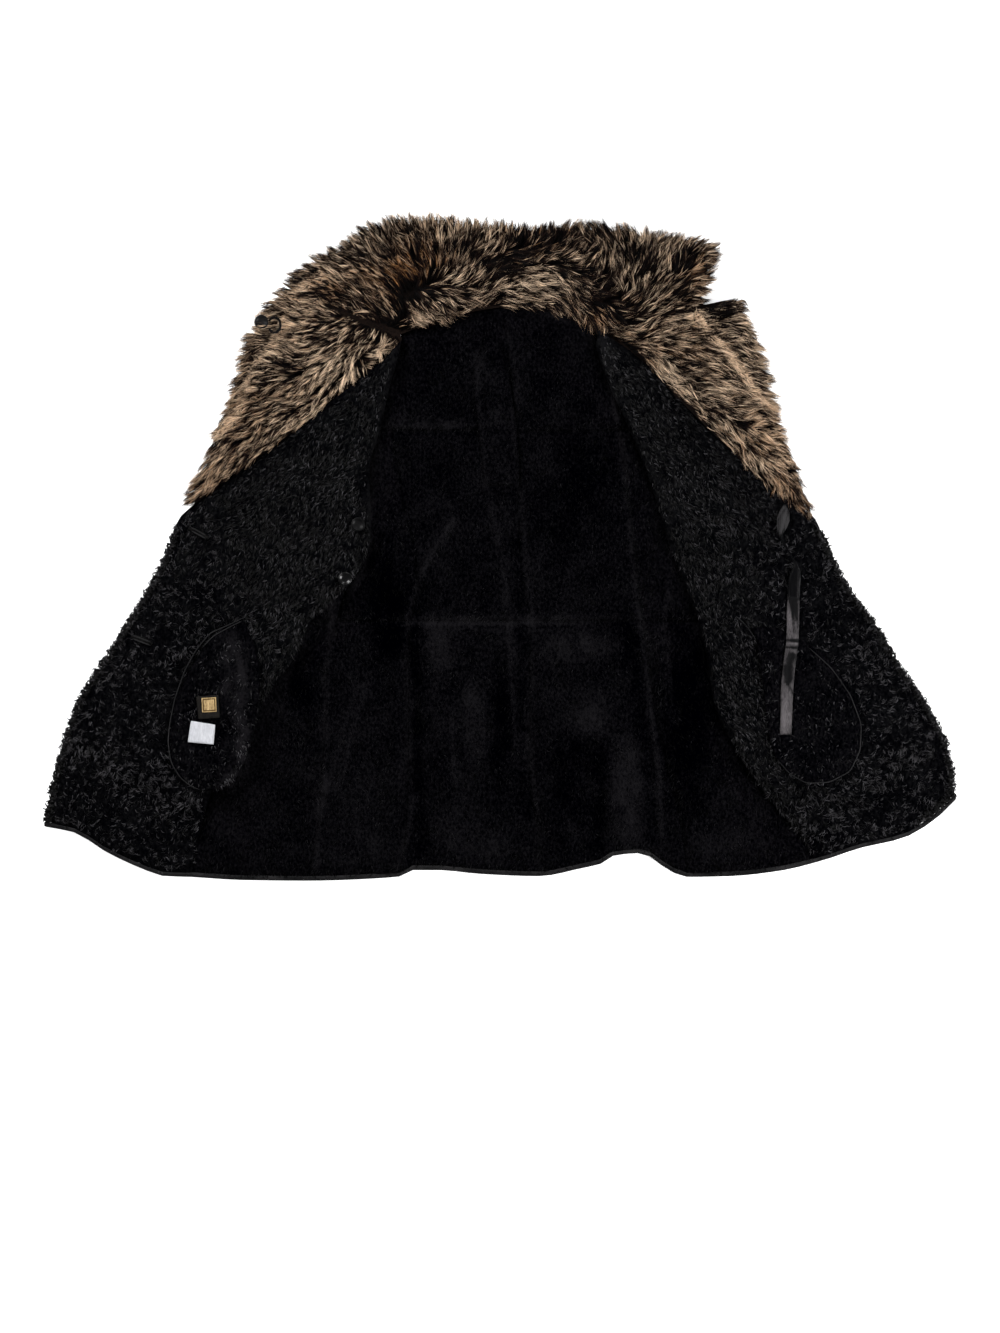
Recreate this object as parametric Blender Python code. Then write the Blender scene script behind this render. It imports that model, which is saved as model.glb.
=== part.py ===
"""Sheepskin coat laid open on its back, fleece side up.

Every panel is its own closed solid.  Seam lines are rows of one table of levels,
so the panels that meet on a seam share its stations and stay a thread apart.
Heights are functions of the place on the floor: wall, folds, and what lies below.
Tables are in millimetres, x to the right, y towards the collar.
"""
import math

import bpy
import numpy as np
from mathutils import Vector
from mathutils.bvhtree import BVHTree

# ---- driving sizes, millimetres -------------------------------------------------
BACK_LENGTH = 748.0      # nape to hem, the size that sets the scale of the coat
TABLE_BACK_LENGTH = 748.0
SEAM_GAP = 0.3           # thread-wide space between pieces
WALL_BACK = 11.0         # clipped fleece on hide, back and sides
WALL_FRONT = 13.0        # curly fleece on hide, fronts
WALL_SLEEVE = 7.8        # one wall of a flattened sleeve
WALL_LEATHER = 3.0       # under-collar and under-lapels
FUR_DEPTH = 27.0         # long fur of collar and lapels, on its skin
FUR_UNEVEN = 3.0         # tufts, above and below that depth
POCKET_WALL = 6.0
BAND_WIDTH = 5.6         # hem binding, across
BAND_WALL = 8.5          # hem binding, high
EDGE_ROUND = 5.0         # how far in the top edge of a panel is rounded
SLEEVE_CLEAR = 20.0      # flat margin of the front beyond the sleeve below it
SLEEVE_RAMP = 34.0       # then the front comes down to the floor
INNER_ROLL = 5.0         # extra height of the rolled inner edge of a front
TUCK = 16.0              # how far side panels go in under the fronts
BUTTON_WIDE = 25.0
BUTTON_THICK = 4.0
INNER_BUTTON_WIDE = 18.5
COLLAR_BUTTON_WIDE = 18.5
BUTTONHOLE = 29.0

SCALE = 0.001 * BACK_LENGTH / TABLE_BACK_LENGTH
LIFT = 2 * WALL_SLEEVE + 2 * SEAM_GAP      # top of a sleeve lying on the floor
NONE = float("nan")


def table(names, *rows):
    """Rows read as named columns."""
    names = names.split()
    return {n: [r[i] for r in rows] for i, n in enumerate(names)}


# ---- tables ---------------------------------------------------------------------
LEVELS = table(
    "y edge_left front_left side_left back_left centre back_right front_right edge_right",
    (313, -314, NONE, NONE, NONE, 7, NONE, 77, 323),
    (294, -327, NONE, NONE, NONE, 7, NONE, 105, 331),
    (269, -339, -129, -129, -129, 10, 126, 126, 344),
    (222, -348, -143, -143, -143, 14, 142, 142, 358),
    (157, -373, -158, -158, -143, 23, 159, 172, 373),
    (104, -395, -172, -172, -134, 26, 165, 193, 390),
    (51, -422, -170, -170, -126, 24, 172, 211, 414),
    (5, -439, -171, -171, -114, 26, 178, 225, 435),
    (-54, -467, -204, -204, -109, 34, 184, 248, 465),
    (-95, -493, -249, -216, -117, 40, 189, 263, 496),
    (-147, -525, -273, -229, -121, 40, 196, 275, 527),
    (-199, -558, -312, -230, -121, 40, 203, 282, 563),
    (-265, -580, -331, -233, -121, 38, 216, 312, 595),
    (-318, -595, -380, -237, -122, 40, 230, 346, 603),
    (-378, -603, -397, -241, -125, 51, 242, 397, 604),
    (-437, -605, -409, -257, -135, 52, 249, 428, 605),
)
HEM = table(
    "x y",
    (-603, -366),
    (-559, -375),
    (-527, -396),
    (-475, -421),
    (-442, -432),
    (-409, -433),
    (-343, -437),
    (-257, -438),
    (-135, -433),
    (-116, -424),
    (-79, -424),
    (-26, -429),
    (52, -432),
    (106, -422),
    (139, -414),
    (154, -403),
    (191, -401),
    (207, -413),
    (249, -433),
    (304, -432),
    (370, -425),
    (428, -411),
    (476, -395),
    (535, -381),
    (588, -347),
    (604, -330),
)
COLLAR_TOP = table(
    "x y",
    (-195, 411),
    (-176, 426),
    (-138, 436),
    (-79, 436),
    (1, 428),
    (53, 426),
    (106, 430),
    (159, 425),
    (212, 417),
    (286, 403),
)
LAPEL_LOW_LEFT = table(
    "x y",
    (-129, 275),
    (-151, 249),
    (-197, 215),
    (-224, 191),
    (-263, 162),
    (-316, 124),
    (-376, 83),
    (-420, 45),
)
LAPEL_LOW_RIGHT = table(
    "x y",
    (137, 284),
    (192, 248),
    (222, 214),
    (265, 170),
    (304, 132),
    (340, 102),
    (368, 75),
    (415, 42),
)
FOLDS = table(
    "name x0 y0 x1 y1 width height0 height1 lift",
    ("back_flute_right", 133, -186, 178, -442, 20, 2, 20, 0.8),
    ("side_ridge_right", 199, -67, 265, -442, 15, 7, 9, 0),
    ("back_valley_right", 180, -120, 228, -442, 12, -3, -4, 0),
    ("side_ridge_left", -126, -67, -143, -442, 15, 10, 9, 0),
    ("drape_left", -59, 58, -108, -67, 13, 5, 9, 0),
    ("back_valley_left", -113, -120, -109, -305, 11, -4, -4, 0),
    ("skirt_fold_left", -79, -186, -63, -424, 12, 5, 5, 0),
    ("skirt_fold_inner_left", -39, -147, -26, -345, 13, 4, 4, 0),
    ("side_fold_high", -179, -186, -226, -371, 12, 5, 4, 0),
    ("side_fold_low", -152, -199, -197, -345, 11, 4, 4, 0),
    ("side_front_edge", -237, -133, -245, -424, 11, 5, 5, 0),
    ("centre_skirt_fold", 48, -120, 64, -424, 12, 4, 4, 0),
    ("skirt_fold_right", 96, -120, 133, -305, 16, 4, 4, 0),
    ("front_seam_right", 201, 102, 271, 33, 8, 4, 2, 0),
    ("front_seam_left", -189, 133, -234, 59, 8, 4, 2, 0),
)
POCKET_LEFT = table(
    "y x_left x_right",
    (-96, -348, -336),
    (-115, -377, -328),
    (-133, -391, -321),
    (-161, -407, -315),
    (-203, -427, -317),
    (-231, -435, -323),
    (-265, -435, -331),
    (-289, -430, -340),
    (-309, -411, -353),
    (-318, -391, -372),
)
POCKET_RIGHT = table(
    "y x_left x_right",
    (-104, 333, 364),
    (-120, 339, 397),
    (-140, 341, 427),
    (-173, 346, 453),
    (-206, 350, 472),
    (-246, 354, 476),
    (-275, 364, 471),
    (-294, 378, 459),
    (-309, 401, 434),
)
SLEEVES = table(
    "side cap_x cap_y under_x under_y cuff_out_x cuff_out_y cuff_in_x cuff_in_y",
    ("left", -147, 247, -195, 88, -521, -239, -401, -302),
    ("right", 141, 247, 214, 88, 515, -246, 401, -318),
)
STRAP = table(
    "x y width lift",
    (376, 59, 4, 0),
    (376, 48, 16, 2),
    (373, 34, 19, 3),
    (370, 21, 9, 3),
    (373, 9, 4, 4),
    (382, -6, 4, 6),
    (389, -20, 6, 6),
    (390, -30, 14, 5),
    (388, -42, 18, 4),
    (387, -62, 18, 3),
    (386, -94, 18, 3),
    (385, -120, 18, 3),
    (381, -153, 18, 3),
    (378, -186, 18, 3),
    (377, -219, 17, 3),
    (376, -246, 17, 2),
)
CENTRE_STRIP = table(
    "y x_left x_right",
    (279, -18, -1),
    (263, -24, 3),
    (228, -34, 10),
    (190, -32, 16),
    (152, -27, 20),
    (120, -22, 23),
    (86, -18, 23),
)

# quads of the small flat things, corner by corner
LABELS = table(
    "name x0 y0 x1 y1 x2 y2 x3 y3 thick",
    ("label_woven", -398, -195, -370, -193, -368, -222, -395, -224, 0.8),
    ("label_square", -391, -197, -373, -196, -372, -214, -390, -215, 0.4),
    ("label_care", -405, -227, -374, -232, -376, -257, -409, -254, 0.6),
)
DISCS = table(
    "name x y wide thick lean_x lean_y",
    ("button_upper", 401, 1, BUTTON_WIDE, BUTTON_THICK, 0, 0),
    ("button_lower", 478, -123, BUTTON_WIDE, BUTTON_THICK, 0, 0),
    ("inner_button_upper", -186, 32, INNER_BUTTON_WIDE, BUTTON_THICK, 0, 0),
    ("inner_button_lower", -203, -40, INNER_BUTTON_WIDE, BUTTON_THICK, 0, 0),
    ("collar_button", -313, 298, COLLAR_BUTTON_WIDE, BUTTON_THICK, 0, 0),
)
BUTTONHOLES = table(
    "name x y angle",
    ("buttonhole_upper", -397, 21, -27),
    ("buttonhole_lower", -471, -120, -20),
)

# stations along the seams: fixed levels to the waist, then shares of the way to the hem
WAIST = -95
UPPER = (222, 200, 178, 157, 140, 122, 104, 86, 69, 51, 28, 5, -15, -35, -54, -75, WAIST)
SHARES = (1 / 12, 2 / 12, 3 / 12, 4 / 12, 5 / 12, 6 / 12, 7 / 12, 8 / 12, 9 / 12, 10 / 12,
          11 / 12, 1.0)

# name: base colour, roughness
MATERIALS = {
    "clipped_fleece": ((0.010, 0.010, 0.013, 1), 0.92),
    "curly_fleece": ((0.012, 0.012, 0.014, 1), 0.90),
    "long_fur": ((0.130, 0.085, 0.055, 1), 0.75),
    "black_leather": ((0.014, 0.013, 0.013, 1), 0.45),
    "black_satin": ((0.030, 0.030, 0.034, 1), 0.40),
    "black_weave": ((0.015, 0.014, 0.014, 1), 0.70),
    "gold_weave": ((0.420, 0.300, 0.160, 1), 0.55),
    "white_satin": ((0.750, 0.750, 0.740, 1), 0.50),
    "black_button": ((0.010, 0.010, 0.011, 1), 0.15),
    "dark_button": ((0.020, 0.017, 0.016, 1), 0.30),
}


# ---- smooth reading of a table column --------------------------------------------
def smooth(xs, ys, at):
    """Monotone cubic through the rows (xs rising or falling), straight beyond them."""
    keep = [(x, y) for x, y in zip(xs, ys) if y == y]
    keep.sort()
    x = np.array([k[0] for k in keep], float)
    y = np.array([k[1] for k in keep], float)
    at = np.atleast_1d(np.asarray(at, float))
    h = np.diff(x)
    d = np.diff(y) / h
    m = np.zeros(len(x))
    m[0], m[-1] = d[0], d[-1]
    for i in range(1, len(x) - 1):
        if d[i - 1] * d[i] > 0:
            m[i] = 2 * d[i - 1] * d[i] / (d[i - 1] + d[i])
    i = np.clip(np.searchsorted(x, at) - 1, 0, len(x) - 2)
    t = (at - x[i]) / h[i]
    tc = np.clip(t, 0, 1)
    out = ((2 * tc**3 - 3 * tc**2 + 1) * y[i] + (tc**3 - 2 * tc**2 + tc) * h[i] * m[i]
           + (3 * tc**2 - 2 * tc**3) * y[i + 1] + (tc**3 - tc**2) * h[i] * m[i + 1])
    return out + (t - tc) * h[i] * np.where(t < tc, m[0], m[-1])


def seam_x(column, y):
    return smooth(LEVELS["y"], LEVELS[column], y)


def hem_y(x):
    return smooth(HEM["x"], HEM["y"], x)


def hem_level(column):
    """Where a seam meets the inner side of the hem binding."""
    y = -430.0
    for _ in range(12):
        y = float(hem_y(seam_x(column, y)[0])[0]) + BAND_WIDTH
    return y


def step(t):
    t = np.clip(t, 0.0, 1.0)
    return t * t * (3 - 2 * t)


def seam(column, stations, tuck=0.0):
    """Points of a seam at its stations; shares run from the waist to the hem."""
    foot = hem_level(column)
    ys = [s if kind == "at" else WAIST + s * (foot - WAIST) for kind, s in stations]
    ys = np.array(ys, float)
    xs = seam_x(column, ys) + tuck * tuck_share(column, ys)
    return np.column_stack([xs, ys])


def tuck_share(column, y):
    """Side panels go in under the raised inner edge of the fronts, less by the sleeve
    and not near the hem."""
    y = np.asarray(y, float)
    beside_sleeve = 1 - 0.75 * step((y - 45) / 35)
    if column == "front_right":
        return beside_sleeve * (1 - step((-200 - y) / 90))
    return beside_sleeve * (1 - step((-8 - y) / 42))


def tuck_share_low(y):
    """The side front on the left has its own tuck, from its tip down."""
    return 1 - step((-225 - np.asarray(y, float)) / 70)


# ---- heights ----------------------------------------------------------------------
def folds(x, y):
    """Sum of the ridges and valleys; also how far they carry the underside up."""
    top = np.zeros(np.shape(x))
    low = np.zeros(np.shape(x))
    t = FOLDS
    for i in range(len(t["name"])):
        ax, ay, bx, by = t["x0"][i], t["y0"][i], t["x1"][i], t["y1"][i]
        dx, dy = bx - ax, by - ay
        long = math.hypot(dx, dy)
        s = ((x - ax) * dx + (y - ay) * dy) / long
        d = ((x - ax) * dy - (y - ay) * dx) / long
        fade = step(s / 45 + 0.3) * step((long - s) / 45 + 0.3)
        h = t["height0"][i] + (t["height1"][i] - t["height0"][i]) * np.clip(s / long, 0, 1)
        bump = h * fade * np.exp(-(d / t["width"][i]) ** 2)
        top = top + bump
        low = low + bump * t["lift"][i]
    return top, low


def inner_edge_share(side, y):
    """How much of the lift the inner edge of a front has: all of it above the hem."""
    if side == "right":
        return 1 - step((-295 - y) / 90)
    return 1 - step((-285 - y) / 60)


def on_sleeve(side, x, y):
    """1 over a sleeve and its margin, easing to 0 beyond it."""
    i = SLEEVES["side"].index(side)
    g = {k: v[i] for k, v in SLEEVES.items()}
    corners = [(g["cap_x"], g["cap_y"]), (g["cuff_out_x"], g["cuff_out_y"]),
               (g["cuff_in_x"], g["cuff_in_y"]), (g["under_x"], g["under_y"])]
    away = np.full(np.shape(x), -1e9)
    turn = 1 if side == "left" else -1
    for k in range(4):
        (ax, ay), (bx, by) = corners[k], corners[(k + 1) % 4]
        dx, dy = bx - ax, by - ay
        long = math.hypot(dx, dy)
        away = np.maximum(away, turn * ((x - ax) * dy - (y - ay) * dx) / long)
    return 1 - step((away - SLEEVE_CLEAR) / SLEEVE_RAMP)


def front_base(side, x, y):
    """Underside of a front: over the sleeve, over the tucked edge, else on the floor."""
    inward = (x - seam_x("front_right", y)) if side == "right" else (seam_x("front_left", y) - x)
    band = inner_edge_share(side, y) * (1 - step((inward - 26) / 40))
    share = 1 - (1 - on_sleeve(side, x, y)) * (1 - band)
    base = LIFT * share
    for i in range(2):
        if side == "right":
            d = np.hypot(x - DISCS["x"][i], y - DISCS["y"][i])
            bump = (BUTTON_THICK + 2 * SEAM_GAP) * (1 - step((d - 40) / 30))
            base = np.maximum(base, bump)
    return base


def front_top(side, x, y):
    inward = (x - seam_x("front_right", y)) if side == "right" else (seam_x("front_left", y) - x)
    roll = INNER_ROLL * np.exp(-((inward - 14) / 13) ** 2) * inner_edge_share(side, y)
    return front_base(side, x, y) + WALL_FRONT + roll + folds(x, y)[0]


def body_base(x, y):
    return folds(x, y)[1]


def body_top(x, y):
    """Back and sides; they rise to the underside of a front where they go beneath it."""
    top = WALL_BACK + folds(x, y)[0]
    for side, column, sign in (("left", "front_left", -1), ("right", "front_right", 1)):
        beyond = sign * (x - seam_x(column, y))
        share = step((beyond + 15) / 13) * (y < 276) * inner_edge_share(side, y)
        top = top + (LIFT - SEAM_GAP - top) * share
    return top


def uneven(x, y):
    """Tufts of long fur as a slow unevenness."""
    return FUR_UNEVEN * (0.5 * np.sin(x / 13.0 + 1.3 * np.sin(y / 17.0))
                         + 0.5 * np.sin(y / 11.0 + 1.1 * np.sin(x / 19.0 + 2.0)))


def fur_top(x, y):
    return WALL_LEATHER + SEAM_GAP + FUR_DEPTH + uneven(x, y)


# ---- meshes -------------------------------------------------------------------------
PIECES = {}


def add_piece(name, verts, faces, material):
    PIECES[name] = ([tuple(map(float, v)) for v in verts], faces, material)


def offset_loop(loop, inset, limit=3.0):
    """Closed outline moved inwards, corners mitred."""
    loop = np.asarray(loop, float)
    before = np.roll(loop, 1, axis=0)
    after = np.roll(loop, -1, axis=0)
    area = 0.5 * np.sum(loop[:, 0] * after[:, 1] - after[:, 0] * loop[:, 1])
    turn = 1.0 if area > 0 else -1.0

    def normals(a, b):
        d = b - a
        d /= np.maximum(np.linalg.norm(d, axis=1, keepdims=True), 1e-9)
        return turn * np.column_stack([-d[:, 1], d[:, 0]])

    n0, n1 = normals(before, loop), normals(loop, after)
    share = 1 + np.sum(n0 * n1, axis=1, keepdims=True)
    move = (n0 + n1) / np.maximum(share, 1e-3)
    size = np.linalg.norm(move, axis=1, keepdims=True)
    move *= np.minimum(1.0, limit / np.maximum(size, 1e-9))
    return loop + inset * move


def patch_points(left, right, top, bottom, us, vs):
    """Blend of four edge lines into rows of points."""
    u = np.asarray(us)[None, :, None]
    v = np.asarray(vs)[:, None, None]
    across = (1 - u) * left[:, None, :] + u * right[:, None, :]
    down = (1 - v) * top[None, :, :] + v * bottom[None, :, :]
    corners = ((1 - u) * (1 - v) * top[0] + u * (1 - v) * top[-1]
               + (1 - u) * v * bottom[0] + u * v * bottom[-1])
    return across + down - corners


def line_at(points, shares):
    """Points at given shares of a line's length."""
    points = np.asarray(points, float)
    s = np.r_[0, np.cumsum(np.linalg.norm(np.diff(points, axis=0), axis=1))]
    s /= s[-1]
    return np.column_stack([np.interp(shares, s, points[:, k]) for k in range(2)])


def rows_of(left, right):
    s = [np.r_[0, np.cumsum(np.linalg.norm(np.diff(p, axis=0), axis=1))] for p in (left, right)]
    return 0.5 * (s[0] / s[0][-1] + s[1] / s[1][-1])


def panel(name, grid, base, top, material, rim=0.55, shoulder=0.92, inset=0.5 * SEAM_GAP,
          edge=EDGE_ROUND, flat=True):
    """Closed solid on a grid of plan points: flat or following underside, rounded rim."""
    rows, cols = grid.shape[:2]
    ring = ([(0, j) for j in range(cols)] + [(i, cols - 1) for i in range(1, rows)]
            + [(rows - 1, j) for j in range(cols - 2, -1, -1)]
            + [(i, 0) for i in range(rows - 2, 0, -1)])
    outline = np.array([grid[i, j] for i, j in ring])
    outer = offset_loop(outline, inset)
    inner = offset_loop(outline, edge, 1.6)
    g = grid.copy()
    for k, (i, j) in enumerate(ring):
        g[i, j] = inner[k]
    zt = top(g[..., 0], g[..., 1])
    zb = base(g[..., 0], g[..., 1])
    for k, (i, j) in enumerate(ring):
        zt[i, j] = zb[i, j] + shoulder * (zt[i, j] - zb[i, j])
    verts = [(g[i, j, 0], g[i, j, 1], zt[i, j]) for i in range(rows) for j in range(cols)]

    def at(i, j):
        return i * cols + j

    faces = [(at(i, j), at(i + 1, j), at(i + 1, j + 1), at(i, j + 1))
             for i in range(rows - 1) for j in range(cols - 1)]
    zb_rim = base(outer[:, 0], outer[:, 1])
    zt_rim = zb_rim + rim * (top(outer[:, 0], outer[:, 1]) - zb_rim)
    first = len(verts)
    n = len(ring)
    verts += [(outer[k, 0], outer[k, 1], zt_rim[k]) for k in range(n)]
    verts += [(outer[k, 0], outer[k, 1], zb_rim[k]) for k in range(n)]
    for k in range(n):
        m = (k + 1) % n
        faces.append((at(*ring[k]), at(*ring[m]), first + m, first + k))
        faces.append((first + k, first + m, first + n + m, first + n + k))
    if flat:
        faces.append(tuple(first + n + k for k in range(n)))
    else:
        under = {}
        for k, ij in enumerate(ring):
            under[ij] = first + n + k
        low = base(grid[..., 0], grid[..., 1])
        for i in range(1, rows - 1):
            for j in range(1, cols - 1):
                under[i, j] = len(verts)
                verts.append((grid[i, j, 0], grid[i, j, 1], low[i, j]))
        faces += [(under[i, j], under[i, j + 1], under[i + 1, j + 1], under[i + 1, j])
                  for i in range(rows - 1) for j in range(cols - 1)]
    add_piece(name, verts, faces, material)


def spread(n, ease=0.0):
    """n + 1 shares from 0 to 1, drawn to both ends by ease."""
    t = np.linspace(0, 1, n + 1)
    return (1 - ease) * t + ease * step(t)


AT = [("at", y) for y in UPPER]
LOW = [("at", WAIST)] + [("share", s) for s in SHARES]


def between(y_high, y_low):
    return [("at", y) for y in UPPER if y_high >= y >= y_low]


def columns_panel(name, left, right, stations, cols, material, top_line=None, hem=False,
                  tucks=(0, 0), low_tuck=0, **kw):
    """Panel between two seams of the table of levels."""
    a = seam(left, stations, tucks[0]) if isinstance(left, str) else left
    b = seam(right, stations, tucks[1]) if isinstance(right, str) else right
    if low_tuck:
        a[:, 0] += low_tuck * tuck_share_low(a[:, 1])
    us = spread(cols)
    first = line_at(top_line, us) if top_line is not None else line_at([a[0], b[0]], us)
    if hem:
        x = a[-1, 0] + us * (b[-1, 0] - a[-1, 0])
        last = np.column_stack([x, hem_y(x) + BAND_WIDTH])
        last[0], last[-1] = a[-1], b[-1]
    else:
        last = line_at([a[-1], b[-1]], us)
    first[0], first[-1] = a[0], b[0]
    grid = patch_points(a, b, first, last, us, rows_of(a, b))
    kw.setdefault("base", lambda x, y: 0 * x)
    kw.setdefault("top", body_top)
    panel(name, grid, material=material, **kw)
    return grid


def hem_band(name, edge):
    """Binding along the hem of one panel, on the floor or with the lifted fold."""
    edge = np.asarray(edge, float)
    out = np.column_stack([edge[:, 0], hem_y(edge[:, 0])])
    along = (edge[-1] - edge[0]) / np.linalg.norm(edge[-1] - edge[0])
    inner = edge.copy()
    inner[0] += along * 0.5 * SEAM_GAP
    inner[-1] -= along * 0.5 * SEAM_GAP
    out[0] += along * 0.5 * SEAM_GAP
    out[-1] -= along * 0.5 * SEAM_GAP
    inner[:, 1] -= 0.5 * SEAM_GAP
    mid = 0.5 * (inner + out)
    low = body_base(mid[:, 0], mid[:, 1])
    tall = BAND_WALL
    rows = [(inner, 0.0), (inner, 0.8), (0.72 * inner + 0.28 * out, 1.0),
            (0.28 * inner + 0.72 * out, 0.97), (out, 0.6), (out, 0.0)]
    n = len(edge)
    verts, faces = [], []
    for k in range(n):
        for line, share in rows:
            verts.append((line[k, 0], line[k, 1], low[k] + share * tall))
    for k in range(n - 1):
        for r in range(6):
            q = (r + 1) % 6
            faces.append((k * 6 + r, (k + 1) * 6 + r, (k + 1) * 6 + q, k * 6 + q))
    faces.append(tuple(range(6)))
    faces.append(tuple((n - 1) * 6 + r for r in range(5, -1, -1)))
    add_piece(name, verts, faces, "black_leather")


# ---- resting one thing on others ------------------------------------------------------
def ground(names):
    """Height of the named pieces under a point, as the highest near it."""
    verts, faces = [], []
    for name in names:
        v, f, _ = PIECES[name]
        n = len(verts)
        verts += v
        faces += [tuple(n + i for i in face) for face in f]
    tree = BVHTree.FromPolygons([Vector(v) for v in verts], faces)

    def height(x, y, reach):
        best = 0.0
        for k in range(25):
            r = reach * ((k + 7) // 8) / 3
            a = k * math.pi / 4
            hit = tree.ray_cast(Vector((x + r * math.cos(a), y + r * math.sin(a), 300.0)),
                                Vector((0, 0, -1)))
            if hit[0] is not None:
                best = max(best, hit[0].z)
        return best

    return height


def on_top(height, reach):
    def base(x, y):
        x, y = np.asarray(x, float), np.asarray(y, float)
        out = np.array([height(a, b, reach) for a, b in zip(x.ravel(), y.ravel())])
        return out.reshape(x.shape) + SEAM_GAP

    return base


# ---- lines shared by collar, lapels, yokes and fronts --------------------------------
NAPE = np.array([7.0, 321.0])
NECK_LEFT = line_at([(-131, 284), (-98, 297), (-39, 314), NAPE], spread(8))
NECK_RIGHT = line_at([NAPE, (40, 320), (80, 313), (111, 300), (131, 288)], spread(8))
FRONT_START = np.array([(131.0, 288.0), (127.0, 267.0), (134.0, 245.0)])
GORGE_LEFT = line_at([(-131, 284), (-171, 298), (-224, 321), (-284, 347)], spread(10))
GORGE_RIGHT = np.vstack([line_at([(131, 288), (185, 300), (230, 314), (269, 322)], spread(7)),
                         line_at([(269, 322), (296, 328), (323, 331)], [0.5, 1.0])])


def make_body():
    """Back, sides and the left side front; the plan of each one with a hem is handed on."""
    fleece = "clipped_fleece"
    # yokes, from the neck to the yoke seam
    levels = np.array([246, 222, 200, 178, 157], float)
    arm_left = np.column_stack([seam_x("front_left", levels) - 4, levels])
    arm_left = np.vstack([NECK_LEFT[0] + (0.6, 0), (-128.6, 275), (-135, 259), arm_left])
    levels = np.array([222, 200, 178, 157], float)
    arm_right = np.column_stack([seam_x("front_right", levels) + 4, levels])
    arm_right = np.vstack([FRONT_START[0], (129, 278), FRONT_START[1:], arm_right])
    levels = np.array([294, 269, 246, 222, 200, 178, 157], float)
    mid = np.vstack([NAPE, np.column_stack([seam_x("centre", levels), levels])])
    for name, a, b, first in (("back_yoke_left", arm_left, mid, NECK_LEFT),
                              ("back_yoke_right", mid, arm_right, NECK_RIGHT)):
        first = first.copy()
        first[0], first[-1] = a[0], b[0]
        us = spread(len(first) - 1)
        last = line_at([a[-1], b[-1]], us)
        grid = patch_points(a, b, first, last, us, rows_of(a, b))
        panel(name, grid, lambda x, y: 0 * x, body_top, fleece)
    # middle back and side panels down to the waist seam
    upper = between(157, WAIST)
    columns_panel("back_middle_left", "back_left", "centre", upper, 8, fleece)
    columns_panel("back_middle_right", "centre", "back_right", upper, 8, fleece)
    side = seam("front_left", upper, -TUCK)
    below = side[:, 1] < -54
    side[below, 0] = seam_x("side_left", side[below, 1])
    columns_panel("side_upper_left", side, "back_left", upper, 4, fleece, edge=3.0)
    columns_panel("side_upper_right", "back_right", "front_right", upper, 4, fleece,
                  tucks=(0, TUCK), edge=3.0)
    # skirts
    hems = {}
    hems["hem_back_left"] = columns_panel("back_skirt_left", "back_left", "centre", LOW, 10,
                                          fleece, hem=True)
    hems["hem_back_right"] = columns_panel("back_skirt_right", "centre", "back_right", LOW, 12,
                                           fleece, hem=True, base=body_base, flat=False)
    hems["hem_side_left"] = columns_panel("side_skirt_left", "side_left", "back_left", LOW, 7,
                                          fleece, hem=True)
    hems["hem_side_right"] = columns_panel("side_skirt_right", "back_right", "front_right", LOW,
                                           9, fleece, hem=True, tucks=(0, TUCK))
    low_side = between(-54, WAIST) + LOW[1:]
    hems["hem_side_front_left"] = columns_panel(
        "side_front_left", "front_left", "side_left", low_side, 7, fleece, hem=True,
        low_tuck=-TUCK)
    return hems


def lapel_and_front(side, cols):
    """A front, its lapel beyond the roll line and the leather under the lapel."""
    right = side == "right"
    low = LAPEL_LOW_RIGHT if right else LAPEL_LOW_LEFT
    roll = line_at(np.column_stack([low["x"], low["y"]]), spread(cols - 1 if right else cols))
    roll_line = np.vstack([FRONT_START[0], roll]) if right else roll
    us = np.r_[0, np.cumsum(np.linalg.norm(np.diff(roll_line, axis=0), axis=1))]
    us /= us[-1]
    column, outer = "front_" + side, "edge_" + side
    start = FRONT_START if right else np.array([roll[0], (-135.5, 246)])
    inner_line = np.vstack([start, seam(column, between(222, WAIST) + LOW[1:])])
    vs = rows_of(inner_line, inner_line)
    tip = roll_line[-1]
    corner_x = float(seam_x(outer, hem_level(outer))[0])
    corner = np.array([corner_x, float(hem_y(corner_x)[0]) + BAND_WIDTH])
    ys = tip[1] + vs * (corner[1] - tip[1])
    outer_line = np.column_stack([seam_x(outer, ys), ys])
    outer_line[0], outer_line[-1] = tip, corner
    x = inner_line[-1, 0] + us * (corner[0] - inner_line[-1, 0])
    last = np.column_stack([x, hem_y(x) + BAND_WIDTH])
    last[0], last[-1] = inner_line[-1], corner
    grid = patch_points(inner_line, outer_line, roll_line, last, us, vs)
    if not right:
        grid = grid[:, ::-1]
    panel("front_" + side, grid, lambda x, y: front_base(side, x, y),
          lambda x, y: front_top(side, x, y), "curly_fleece", flat=False)
    # lapel: from the gorge line down to the roll line, out to the edge
    first = GORGE_RIGHT if right else GORGE_LEFT
    us, vs = spread(len(roll) - 1), spread(8)
    outline = np.array([first[-1] + (roll[-1] - first[-1]) * v for v in vs])
    outline[1:-1, 0] = seam_x(outer, outline[1:-1, 1])
    inner = line_at([first[0], roll[0]], vs)
    grid = patch_points(inner, outline, first, roll, us, vs)
    if not right:
        grid = grid[:, ::-1]
    panel("lapel_" + side, grid, lambda x, y: 0 * x + WALL_LEATHER + SEAM_GAP, fur_top,
          "long_fur", edge=11.0, rim=0.30, shoulder=0.86)
    panel("under_lapel_" + side, grid, lambda x, y: 0 * x,
          lambda x, y: 0 * x + WALL_LEATHER, "black_leather", inset=2.0, edge=5.0, rim=0.6,
          shoulder=1.0)
    return last if right else last[::-1]


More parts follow.
